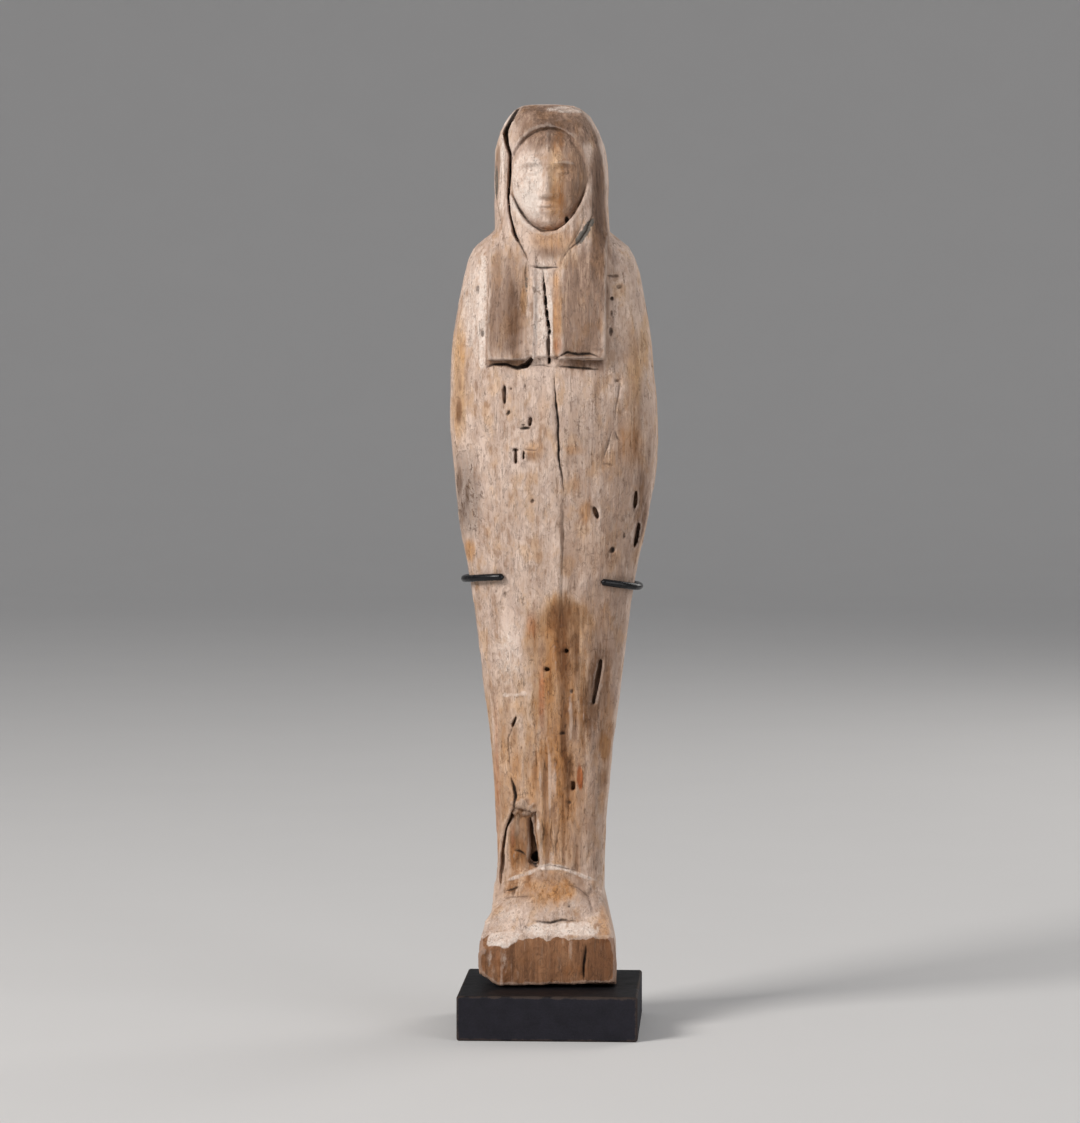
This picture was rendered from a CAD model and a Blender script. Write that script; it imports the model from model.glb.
"""The looks of a carved wooden ushabti held up by its small black stand.

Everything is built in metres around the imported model. The figure's own detail is set out in
millimetres in the figure's frame: x across its front, y from front to back, h above its soles.
"""

import itertools
import logging
import math
from dataclasses import dataclass, field, replace
from enum import Enum
from typing import Any, ClassVar, Iterable, Mapping, Sequence, TypeVar

import bmesh
import bpy
import numpy as np
from mathutils import Matrix, Vector


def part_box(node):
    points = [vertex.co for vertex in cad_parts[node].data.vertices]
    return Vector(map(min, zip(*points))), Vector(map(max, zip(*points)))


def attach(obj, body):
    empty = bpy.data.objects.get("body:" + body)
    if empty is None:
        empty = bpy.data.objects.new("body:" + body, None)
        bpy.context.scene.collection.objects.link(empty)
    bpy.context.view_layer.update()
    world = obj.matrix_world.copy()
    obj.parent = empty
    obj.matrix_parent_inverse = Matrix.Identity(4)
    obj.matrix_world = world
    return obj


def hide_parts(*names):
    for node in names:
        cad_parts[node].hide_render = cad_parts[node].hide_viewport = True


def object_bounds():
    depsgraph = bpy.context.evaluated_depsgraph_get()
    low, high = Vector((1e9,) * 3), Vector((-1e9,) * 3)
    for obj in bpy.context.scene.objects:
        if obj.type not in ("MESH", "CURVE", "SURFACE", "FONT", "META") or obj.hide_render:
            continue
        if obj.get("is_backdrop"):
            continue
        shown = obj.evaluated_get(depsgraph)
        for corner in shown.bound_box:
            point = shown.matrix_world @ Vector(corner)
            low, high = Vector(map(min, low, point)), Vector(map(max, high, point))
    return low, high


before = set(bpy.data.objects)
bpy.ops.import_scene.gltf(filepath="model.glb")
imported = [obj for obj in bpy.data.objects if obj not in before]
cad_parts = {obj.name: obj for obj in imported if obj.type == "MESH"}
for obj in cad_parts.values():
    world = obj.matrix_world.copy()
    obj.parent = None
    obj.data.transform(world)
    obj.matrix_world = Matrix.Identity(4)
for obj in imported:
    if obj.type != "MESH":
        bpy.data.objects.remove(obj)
CAD_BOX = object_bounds()

MM = 0.001
BODY = "root"
LOG = logging.getLogger("ushabti")

Array = np.ndarray
Colour = tuple[float, float, float]
Tones = tuple[Colour, Colour, Colour]
Points = tuple[tuple[float, float], ...]

FIGURE_BACK = 3.6
FIGURE_TURN = math.radians(-3.0)
CYLINDER_SIDES = 40


# ---------------------------------------------------------------------------
# Fields over the figure's skin
# ---------------------------------------------------------------------------


def ramp(value: Array, low: float, high: float) -> Array:
    """A smooth step from 0 at low to 1 at high.

    Args:
        value: The numbers to look up.
        low: Where the step starts.
        high: Where it ends, which may be below low.

    Returns:
        One number from 0 to 1 for each value.
    """
    share = np.clip((value - low) / (high - low), 0.0, 1.0)
    return share * share * (3.0 - 2.0 * share)


def hump(value: Array, width: float) -> Array:
    """A bell curve of that width, 1 high in the middle."""
    return np.exp(-((value / width) ** 2))


@dataclass(frozen=True)
class Span:
    """A stretch along one direction that fades in from start to full and out from fading to end."""

    start: float
    full: float
    fading: float
    end: float

    def share(self, value: Array) -> Array:
        """1 inside the stretch and 0 beyond its ends."""
        return ramp(value, self.start, self.full) * ramp(value, self.end, self.fading)


@dataclass(frozen=True)
class Grit:
    """A smooth random field over space that comes out the same on every run."""

    primes: ClassVar[tuple[int, int, int]] = (73856093, 19349663, 83492791)
    seed_prime: ClassVar[int] = 2654435761
    stirs: ClassVar[tuple[tuple[int, int], ...]] = ((13, 1274126177), (15, 2246822519))
    low_bits: ClassVar[int] = 0x7FFFFFFF
    layer_seed_step: ClassVar[int] = 17
    seed: int

    def at(self, points: Array, spacing: Sequence[float]) -> Array:
        """Reads the field.

        Args:
            points: Places in millimetres, one row each.
            spacing: How far apart the random values lie along x, y and h.

        Returns:
            One number from -1 to 1 for each place.
        """
        cell = points / np.asarray(spacing, float)
        base = np.floor(cell).astype(np.int64)
        share = cell - base
        share = share * share * (3.0 - 2.0 * share)
        total = np.zeros(len(points))
        for corner in itertools.product((0, 1), repeat=3):
            weight = np.prod(np.where(corner, share, 1.0 - share), axis=1)
            total += weight * self._lattice(base + np.array(corner))
        return total

    def rough(self, points: Array, spacing: Sequence[float], layers: int) -> Array:
        """The field with finer and weaker copies of itself laid over it.

        Args:
            points: Places in millimetres, one row each.
            spacing: The spacing of the coarsest layer.
            layers: How many layers there are, each half as wide as the one before.

        Returns:
            One number for each place, about from -1 to 1.
        """
        total = np.zeros(len(points))
        for layer in range(layers):
            finer = Grit(self.seed + self.layer_seed_step * layer)
            total += finer.at(points, np.asarray(spacing, float) / 2**layer) / 2**layer
        return total / (2.0 - 2.0 ** (1 - layers))

    def _lattice(self, corner: Array) -> Array:
        """A random number from -1 to 1 for each whole-numbered place."""
        key = np.bitwise_xor.reduce(corner * np.array(self.primes), axis=1)
        key = (key ^ (self.seed * self.seed_prime)) & self.low_bits
        for bits, factor in self.stirs:
            key = ((key ^ (key >> bits)) * factor) & self.low_bits
        return ((key ^ (key >> 16)) & 0xFFFF) / 32767.5 - 1.0


class Side(Enum):
    """Which side of the figure a feature is on."""

    FRONT = (0.0, -1.0)
    BACK = (0.0, 1.0)
    LEFT = (-1.0, 0.0)
    RIGHT = (1.0, 0.0)
    ROUND = (0.0, 0.0)


@dataclass
class Skin:
    """The figure's surface as arrays, in millimetres in the figure's frame."""

    points: Array
    normals: Array

    @property
    def x(self) -> Array:
        """Across the front, towards the figure's left hand."""
        return self.points[:, 0]

    @property
    def y(self) -> Array:
        """From front to back."""
        return self.points[:, 1]

    @property
    def h(self) -> Array:
        """Height above the soles."""
        return self.points[:, 2]

    def facing(self, side: Side) -> Array:
        """How far each point faces that side, from 0 to 1."""
        if side is Side.ROUND:
            return np.ones(len(self.points))
        across, back = side.value
        towards = self.normals[:, 0] * across + self.normals[:, 1] * back
        return ramp(towards, 0.05, 0.45)

    def across(self, side: Side) -> Array:
        """The coordinate that runs across that side: x in front and behind, y on the flanks."""
        return self.y if side in (Side.LEFT, Side.RIGHT) else self.x

    def close_to(self, side: Side, low: Array, high: Array, margin: float) -> Array:
        """Picks the points on one side that are in or near a box.

        Args:
            side: The side.
            low: The box's least place across and height.
            high: Its greatest.
            margin: How far outside the box still counts as near.

        Returns:
            True for each point that is near.
        """
        across = self.across(side)
        beside = (across > low[0] - margin) & (across < high[0] + margin)
        level = (self.h > low[1] - margin) & (self.h < high[1] + margin)
        return beside & level & (self.facing(side) > 0.0)

    def part(self, chosen: Array) -> "Skin":
        """The points that are chosen, as a skin of their own."""
        return Skin(self.points[chosen], self.normals[chosen])


@dataclass(frozen=True)
class Texture:
    """A random relief over the skin, with its seed, its spacing along x, y and h, and its height."""

    seed: int
    spacing: tuple[float, float, float]
    height: float = 1.0
    layers: int = 1

    def rise(self, skin: Skin) -> Array:
        """How far the texture moves each point outwards, in millimetres."""
        return self.height * Grit(self.seed).rough(skin.points, self.spacing, self.layers)


@dataclass(frozen=True)
class Groove:
    """A crack or scratch along a route over one side of the figure.

    The route's points are (across, height). The groove narrows to nothing at both ends.
    """

    wander: ClassVar[tuple[float, float, float]] = (1.2, 4.0, 2.2)
    route: Points
    width: float
    depth: float
    side: Side = Side.FRONT
    waver: float = 0.18

    def share(self, skin: Skin, grit: Grit) -> Array:
        """How deep into the groove each point lies.

        Args:
            skin: The surface.
            grit: The random field that bends the route.

        Returns:
            A number from 0 outside the groove to 1 at its bottom, for each point.
        """
        share = np.zeros(len(skin.points))
        corners = np.array(self.route)
        close = skin.close_to(self.side, corners.min(axis=0), corners.max(axis=0), self.width + 1.0)
        if close.any():
            share[close] = self._share_close_by(skin.part(close), grit)
        return share

    def _share_close_by(self, skin: Skin, grit: Grit) -> Array:
        """The same for points that are all close to the groove."""
        across = skin.across(self.side) + self.waver * grit.rough(skin.points, self.wander, 2)
        nearest = np.full(len(across), np.inf)
        along_nearest = np.zeros(len(across))
        lengths = [math.dist(a, b) for a, b in zip(self.route, self.route[1:])]
        whole = sum(lengths)
        walked = 0.0
        for (start, end), length in zip(zip(self.route, self.route[1:]), lengths):
            run = (end[0] - start[0], end[1] - start[1])
            part = ((across - start[0]) * run[0] + (skin.h - start[1]) * run[1]) / length**2
            part = np.clip(part, 0.0, 1.0)
            away = np.hypot(across - start[0] - part * run[0], skin.h - start[1] - part * run[1])
            closer = away < nearest
            nearest = np.where(closer, away, nearest)
            along_nearest = np.where(closer, (walked + part * length) / whole, along_nearest)
            walked += length
        taper = np.sqrt(np.clip(4.0 * along_nearest * (1.0 - along_nearest), 0.02, 1.0))
        half = 0.5 * self.width * taper
        return ramp(nearest, half * 1.25 + 0.12, half * 0.35) * taper * skin.facing(self.side)


@dataclass(frozen=True)
class Pit:
    """A small hole, chip or nick on one side of the figure.

    Its place is (across, height), its sizes are full widths, and lean turns its top outwards.
    """

    place: tuple[float, float]
    size: tuple[float, float]
    depth: float
    lean: float = 0.0
    side: Side = Side.FRONT

    def share(self, skin: Skin, grit: Grit) -> Array:
        """How deep into the pit each point lies, from 0 to 1."""
        share = np.zeros(len(skin.points))
        place = np.array(self.place)
        close = skin.close_to(self.side, place, place, 2.0 * max(self.size) + 0.5)
        if close.any():
            part = skin.part(close)
            rise = part.h - self.place[1]
            off = part.across(self.side) - self.place[0] - self.lean * rise
            ragged = 1.0 + 0.35 * grit.at(part.points, (0.9, 2.0, 0.9))
            radius = np.hypot(off / (0.5 * self.size[0]), rise / (0.5 * self.size[1])) * ragged
            share[close] = ramp(radius, 1.3, 0.55) * part.facing(self.side)
        return share


class Tint(Enum):
    """The kinds of weathering that the figure's finish tells apart."""

    BARE = "bare"
    CHALK = "chalk"
    OCHRE = "ochre"
    HONEY = "honey"
    UMBER = "umber"
    RUST = "rust"
    ASH = "ash"
    VERDIGRIS = "verdigris"
    RAW = "raw"


@dataclass(frozen=True)
class Patch:
    """An area of one kind of weathering on one side of the figure.

    Its place is (across, height) and its sizes are full widths. A square patch has corner 4 or
    more, a round one has 2. A soft patch fades over most of its width.
    """

    tint: Tint
    place: tuple[float, float]
    size: tuple[float, float]
    strength: float = 1.0
    lean: float = 0.0
    soft: float = 0.6
    corner: float = 2.0
    side: Side = Side.FRONT
    fray: float = 0.36

    def share(self, skin: Skin, ragged: Array) -> Array:
        """How strongly the patch colours each point, from 0 to its strength."""
        rise = skin.h - self.place[1]
        off = skin.across(self.side) - self.place[0] - self.lean * rise
        u = np.abs(off / (0.5 * self.size[0])) ** self.corner
        v = np.abs(rise / (0.5 * self.size[1])) ** self.corner
        radius = (u + v) ** (1.0 / self.corner) * (1.0 + self.fray * ragged)
        return self.strength * ramp(radius, 1.0 + self.soft, 1.0 - self.soft) * skin.facing(self.side)


Mark = TypeVar("Mark", Groove, Pit, Patch)


# ---------------------------------------------------------------------------
# Meshes
# ---------------------------------------------------------------------------


def as_piece(name: str, bm: bmesh.types.BMesh) -> bpy.types.Object:
    """Puts a bmesh in the scene as a smooth-shaded object at the origin.

    Args:
        name: The piece's name.
        bm: Its mesh, already in place, which is freed.

    Returns:
        The new object.
    """
    mesh = bpy.data.meshes.new(name)
    bm.to_mesh(mesh)
    bm.free()
    piece = bpy.data.objects.new(name, mesh)
    bpy.context.scene.collection.objects.link(piece)
    mesh.shade_smooth()
    return piece


def piece_from(name: str, bm: bmesh.types.BMesh) -> bpy.types.Object:
    """Turns the faces of a closed bmesh outwards and makes it a piece.

    Args:
        name: The piece's name.
        bm: The finished bmesh, which is freed.

    Returns:
        The new object.
    """
    bmesh.ops.recalc_face_normals(bm, faces=bm.faces)
    return as_piece(name, bm)


def merged_copy(node: str, name: str) -> bpy.types.Object:
    """Copies a CAD node's mesh into a new piece with its loose triangles joined.

    Args:
        node: The CAD node's name.
        name: The new piece's name.

    Returns:
        The new object.
    """
    bm = bmesh.new()
    bm.from_mesh(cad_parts[node].data)
    bmesh.ops.remove_doubles(bm, verts=bm.verts, dist=0.001 * MM)
    return as_piece(name, bm)


def add_cylinder(bm: bmesh.types.BMesh, radius: float, length: float, middle: Sequence[float]) -> None:
    """Adds an upright cylinder with closed ends to a bmesh, with its sizes in millimetres.

    Args:
        bm: The bmesh, which holds nothing else yet.
        radius: The cylinder's radius.
        length: Its length.
        middle: The place of its middle.
    """
    bmesh.ops.create_cone(
        bm,
        cap_ends=True,
        segments=CYLINDER_SIDES,
        radius1=radius * MM,
        radius2=radius * MM,
        depth=length * MM,
    )
    bmesh.ops.translate(bm, vec=Vector(middle) * MM, verts=bm.verts)


def ease_edges(bm: bmesh.types.BMesh, edges: Sequence[bmesh.types.BMEdge], width: float, steps: int) -> None:
    """Rounds off edges of a bmesh.

    Args:
        bm: The bmesh.
        edges: The edges.
        width: How wide the rounding is, in millimetres.
        steps: How many faces it has across.
    """
    bmesh.ops.bevel(
        bm,
        geom=edges,
        offset=width * MM,
        offset_type="OFFSET",
        segments=steps,
        profile=0.5,
        affect="EDGES",
        material=-1,
    )


def even_out(piece: bpy.types.Object, size: float) -> None:
    """Gives a piece an even mesh, with faces about that many millimetres wide."""
    modifier = piece.modifiers.new("even", "REMESH")
    modifier.mode = "VOXEL"
    modifier.voxel_size = size * MM
    settle(piece)


def settle(piece: bpy.types.Object) -> None:
    """Applies a piece's modifiers to its mesh."""
    bpy.context.view_layer.update()
    graph = bpy.context.evaluated_depsgraph_get()
    settled = bpy.data.meshes.new_from_object(piece.evaluated_get(graph))
    old = piece.data
    piece.modifiers.clear()
    piece.data = settled
    bpy.data.meshes.remove(old)
    piece.data.shade_smooth()


def read_points(mesh: bpy.types.Mesh) -> Array:
    """A mesh's vertices as rows of metres."""
    flat = np.empty(3 * len(mesh.vertices), np.float32)
    mesh.vertices.foreach_get("co", flat)
    return flat.reshape(-1, 3).astype(float)


def read_normals(mesh: bpy.types.Mesh) -> Array:
    """A mesh's vertex normals as rows."""
    flat = np.empty(3 * len(mesh.vertices), np.float32)
    mesh.vertex_normals.foreach_get("vector", flat)
    return flat.reshape(-1, 3).astype(float)


def write_points(mesh: bpy.types.Mesh, points: Array) -> None:
    """Moves a mesh's vertices to rows of metres."""
    mesh.vertices.foreach_set("co", points.astype(np.float32).ravel())
    mesh.update()


def hold_inside(mesh: bpy.types.Mesh, box: tuple[Vector, Vector]) -> None:
    """Moves the vertices that lie outside a box onto it."""
    low, high = (np.array(corner) for corner in box)
    write_points(mesh, np.clip(read_points(mesh), low, high))


def write_share(mesh: bpy.types.Mesh, name: str, share: Array) -> None:
    """Stores one number for each vertex, from 0 to 1, under a name that a finish reads."""
    layer = mesh.attributes.new(name, "FLOAT", "POINT")
    layer.data.foreach_set("value", np.clip(share, 0.0, 1.0).astype(np.float32))


@dataclass
class Neighbours:
    """Which vertices of a mesh are joined by an edge."""

    mesh: bpy.types.Mesh
    ends: Array = field(init=False)
    count: Array = field(init=False)

    def __post_init__(self) -> None:
        """Reads the mesh's edges."""
        flat = np.empty(2 * len(self.mesh.edges), np.int32)
        self.mesh.edges.foreach_get("vertices", flat)
        self.ends = flat.reshape(-1, 2)
        total = len(self.mesh.vertices)
        self.count = np.maximum(np.bincount(self.ends.ravel(), minlength=total), 1)

    def mean(self, values: Array) -> Array:
        """The mean of each vertex's neighbours, for one number or one row a vertex."""
        first, second = self.ends[:, 0], self.ends[:, 1]
        total = len(self.count)
        columns = values.reshape(total, -1)
        sums = [
            np.bincount(first, columns[second, i], total) + np.bincount(second, columns[first, i], total)
            for i in range(columns.shape[1])
        ]
        return (np.stack(sums, axis=1) / self.count[:, None]).reshape(values.shape)

    def spread(self, values: Array, steps: int) -> Array:
        """Smooths the values over that many steps from vertex to vertex."""
        for _ in range(steps):
            values = 0.5 * (values + self.mean(values))
        return values

    def smooth_normals(self, normals: Array, steps: int) -> Array:
        """Smooths the normals over that many steps and makes them one long again."""
        smooth = self.spread(normals, steps)
        return smooth / np.maximum(np.linalg.norm(smooth, axis=1, keepdims=True), 1e-6)


# ---------------------------------------------------------------------------
# Shader nodes
# ---------------------------------------------------------------------------


class Signal:
    """A number coming out of a shader socket, on which Python's arithmetic adds Math nodes."""

    def __init__(self, board: "Board", socket: bpy.types.NodeSocket) -> None:
        """Wraps a socket of a board."""
        self.board = board
        self.socket = socket

    def _math(self, operation: str, *others: Any, clamp: bool = False) -> "Signal":
        """Adds a Math node that reads this signal first."""
        return self.board.math(operation, self, *others, clamp=clamp)

    def __add__(self, other: Any) -> "Signal":
        """self + other."""
        return self._math("ADD", other)

    def __radd__(self, other: Any) -> "Signal":
        """other + self."""
        return self._math("ADD", other)

    def __sub__(self, other: Any) -> "Signal":
        """self - other."""
        return self._math("SUBTRACT", other)

    def __rsub__(self, other: Any) -> "Signal":
        """other - self."""
        return self.board.math("SUBTRACT", other, self)

    def __mul__(self, other: Any) -> "Signal":
        """self * other."""
        return self._math("MULTIPLY", other)

    def __rmul__(self, other: Any) -> "Signal":
        """other * self."""
        return self._math("MULTIPLY", other)

    def size(self) -> "Signal":
        """The number without its sign."""
        return self._math("ABSOLUTE")

    def held(self) -> "Signal":
        """The number held between 0 and 1."""
        return self._math("ADD", 0.0, clamp=True)

    def ramp(self, low: float, high: float) -> "Signal":
        """A smooth step from 0 at low to 1 at high, where high may be below low."""
        ends = (low, high, 0.0, 1.0) if low < high else (high, low, 1.0, 0.0)
        inputs = {"Value": self, **dict(zip(("From Min", "From Max", "To Min", "To Max"), ends))}
        return self.board.signal("ShaderNodeMapRange", {"interpolation_type": "SMOOTHSTEP"}, inputs)


class Board:
    """A material's node tree, with one method that adds any node."""

    def __init__(self, name: str) -> None:
        """Starts an empty material of that name."""
        self.material = bpy.data.materials.new(name)
        self.material.use_nodes = True
        self.tree = self.material.node_tree
        self.tree.nodes.clear()

    def node(
        self,
        kind: str,
        settings: Mapping[str, Any] | None = None,
        inputs: Mapping[Any, Any] | None = None,
    ) -> bpy.types.Node:
        """Adds a node.

        Args:
            kind: The node's type.
            settings: Its own properties, set before its sockets.
            inputs: A value or a link for each socket, by the socket's name or place.

        Returns:
            The new node.
        """
        made = self.tree.nodes.new(kind)
        for name, value in (settings or {}).items():
            setattr(made, name, value)
        for name, value in (inputs or {}).items():
            if isinstance(value, Signal):
                value = value.socket
            if isinstance(value, bpy.types.NodeSocket):
                self.tree.links.new(value, made.inputs[name])
            else:
                made.inputs[name].default_value = value
        return made

    def signal(self, kind: str, settings: Mapping[str, Any] | None, inputs: Mapping[Any, Any]) -> Signal:
        """Adds a node and wraps its first output."""
        return Signal(self, self.node(kind, settings, inputs).outputs[0])

    def math(self, operation: str, *terms: Any, clamp: bool = False) -> Signal:
        """Adds a Math node on signals or numbers."""
        settings = {"operation": operation, "use_clamp": clamp}
        return self.signal("ShaderNodeMath", settings, dict(enumerate(terms)))

    def share(self, name: str) -> Signal:
        """A number stored on the piece's vertices."""
        made = self.node("ShaderNodeAttribute", {"attribute_name": name})
        return Signal(self, made.outputs["Fac"])

    def place(self, turn: float = 0.0, shift: Sequence[float] = (0.0, 0.0, 0.0)) -> bpy.types.NodeSocket:
        """Object coordinates in millimetres, turned about the vertical and then shifted."""
        texture = self.node("ShaderNodeTexCoord")
        inputs = {
            "Vector": texture.outputs["Object"],
            "Location": tuple(shift),
            "Rotation": (0.0, 0.0, turn),
            "Scale": (1.0 / MM,) * 3,
        }
        return self.node("ShaderNodeMapping", None, inputs).outputs[0]

    def noise(
        self,
        place: bpy.types.NodeSocket,
        spacing: Sequence[float],
        detail: float = 3.0,
        roughness: float = 0.55,
        distortion: float = 0.0,
        shift: float = 0.0,
    ) -> Signal:
        """A noise pattern.

        Args:
            place: Coordinates in millimetres.
            spacing: The pattern's size along x, y and z, in millimetres.
            detail: How many finer layers it has.
            roughness: How strong those are.
            distortion: How far it is pulled about.
            shift: Moves the pattern, so that two alike aren't the same.

        Returns:
            A signal around 0.5, from 0 to 1.
        """
        scale = tuple(1.0 / step for step in spacing)
        inputs = {"Vector": place, "Scale": scale, "Location": (shift, 0.7 * shift, 1.3 * shift)}
        mapping = self.node("ShaderNodeMapping", None, inputs)
        inputs = {
            "Vector": mapping.outputs[0],
            "Scale": 1.0,
            "Detail": detail,
            "Roughness": roughness,
            "Distortion": distortion,
        }
        return self.signal("ShaderNodeTexNoise", None, inputs)

    def mix(self, share: Any, first: Any, second: Any, blend: str = "MIX") -> bpy.types.NodeSocket:
        """Mixes two colours.

        Args:
            share: How much of the second there is.
            first: A colour or a colour socket.
            second: Another.
            blend: The way they mix.

        Returns:
            The mixed colour's socket.
        """
        inputs = {0: share}
        for place, colour in ((6, first), (7, second)):
            inputs[place] = colour if isinstance(colour, bpy.types.NodeSocket) else (*colour, 1.0)
        settings = {"data_type": "RGBA", "blend_type": blend}
        return self.node("ShaderNodeMix", settings, inputs).outputs[2]

    def bump(self, height: Signal, depth: float) -> bpy.types.NodeSocket:
        """A surface bump from a height signal, whose whole range is that deep in millimetres."""
        inputs = {"Height": height, "Strength": 1.0, "Distance": depth * MM}
        return self.node("ShaderNodeBump", None, inputs).outputs[0]

    def finish(self, inputs: Mapping[str, Any]) -> bpy.types.Material:
        """Joins a principled shader with those inputs to the output.

        Args:
            inputs: Values or links for the shader's sockets.

        Returns:
            The finished material.
        """
        shader = self.node("ShaderNodeBsdfPrincipled", None, inputs)
        self.node("ShaderNodeOutputMaterial", None, {"Surface": shader.outputs[0]})
        return self.material


# ---------------------------------------------------------------------------
# Finishes
# ---------------------------------------------------------------------------


class Coats:
    """A colour that is built up coat by coat."""

    def __init__(self, board: Board, first: bpy.types.NodeSocket) -> None:
        """Starts with a first colour."""
        self.board = board
        self.colour = first

    def lay(self, share: Any, colour: Any, blend: str = "MIX") -> None:
        """Lays a coat of a colour over what is there, as thick as its share says."""
        self.colour = self.board.mix(share, self.colour, colour, blend)


class WoodPatterns:
    """The patterns that the colour, the shine and the relief of old carved wood share."""

    def __init__(self, board: Board, place: bpy.types.NodeSocket) -> None:
        """Lays out the patterns.

        Args:
            board: The material's board.
            place: Coordinates in millimetres in the figure's frame.
        """
        self.board = board
        self.cloud = board.noise(place, (5.0, 5.0, 9.0), 4.0)
        self.mottle = board.noise(place, (1.3, 1.3, 2.4), 4.0, 0.62, shift=3.1)
        self.crumb = board.noise(place, (0.42, 0.42, 0.55), 3.0, 0.6, shift=5.3)
        self.grain = board.noise(place, (0.55, 0.55, 15.0), 4.0, 0.62, 0.15, shift=1.7)
        self.fibre = board.noise(place, (0.2, 0.2, 5.0), 2.0, 0.5, 0.1, shift=8.2)
        self.smear = board.noise(place, (0.95, 0.95, 5.5), 5.0, 0.68, 0.2, shift=27.1)
        self.flake = board.noise(place, (2.4, 2.4, 5.2), 5.0, 0.62, 0.5, shift=33.8)
        self.warmth = board.noise(place, (3.4, 3.4, 6.5), 3.0, 0.6, shift=21.3)
        swath = board.noise(place, (2.3, 2.3, 42.0), 4.0, 0.6, 0.1, shift=9.4)
        course = board.noise(place, (1.0, 1.0, 24.0), 2.0, 0.5, 0.3, shift=12.6)
        self.streak = swath * 0.45 + self.grain * 0.4 + self.fibre * 0.15 - 0.5
        self.blotch = self.cloud * 0.45 + self.mottle * 0.55 - 0.5
        self.along = board.share("grain")
        bare = board.share(Tint.BARE.value)
        stir = 0.25 + (bare * 2.0).held() * 0.75
        self.bare = (bare + (self.streak * 2.6 + self.blotch * 0.8) * stir).ramp(0.2, 0.8)
        self.raw = (board.share(Tint.RAW.value) + self.blotch * 0.9).ramp(0.35, 0.65)
        self.layer = self.flake.ramp(0.475, 0.515)
        self.craze = (self.flake * 0.5 + self.mottle * 0.5 - 0.5).size().ramp(0.014, 0.002)
        fine = (course - 0.5).size().ramp(0.016, 0.003)
        self.hairs = fine * (self.mottle + bare * 0.06).ramp(0.5, 0.62)
        hollow = board.share("hollow")
        self.hollow = (hollow + (self.crumb - 0.5) * 0.5 * hollow).ramp(0.08, 0.75)

    def relief(self) -> Signal:
        """The height of the surface: grain, crumbs and layers stand out, and cracks lie deep."""
        fine = self.grain * (0.5 + self.along) + self.crumb * 0.35 + self.mottle * 0.5 + self.fibre * 0.35
        layers = self.layer * 0.24 - self.bare * 0.25 + self.smear * 0.4
        return fine + layers - self.hairs * 0.35 - self.craze * 0.12


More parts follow.
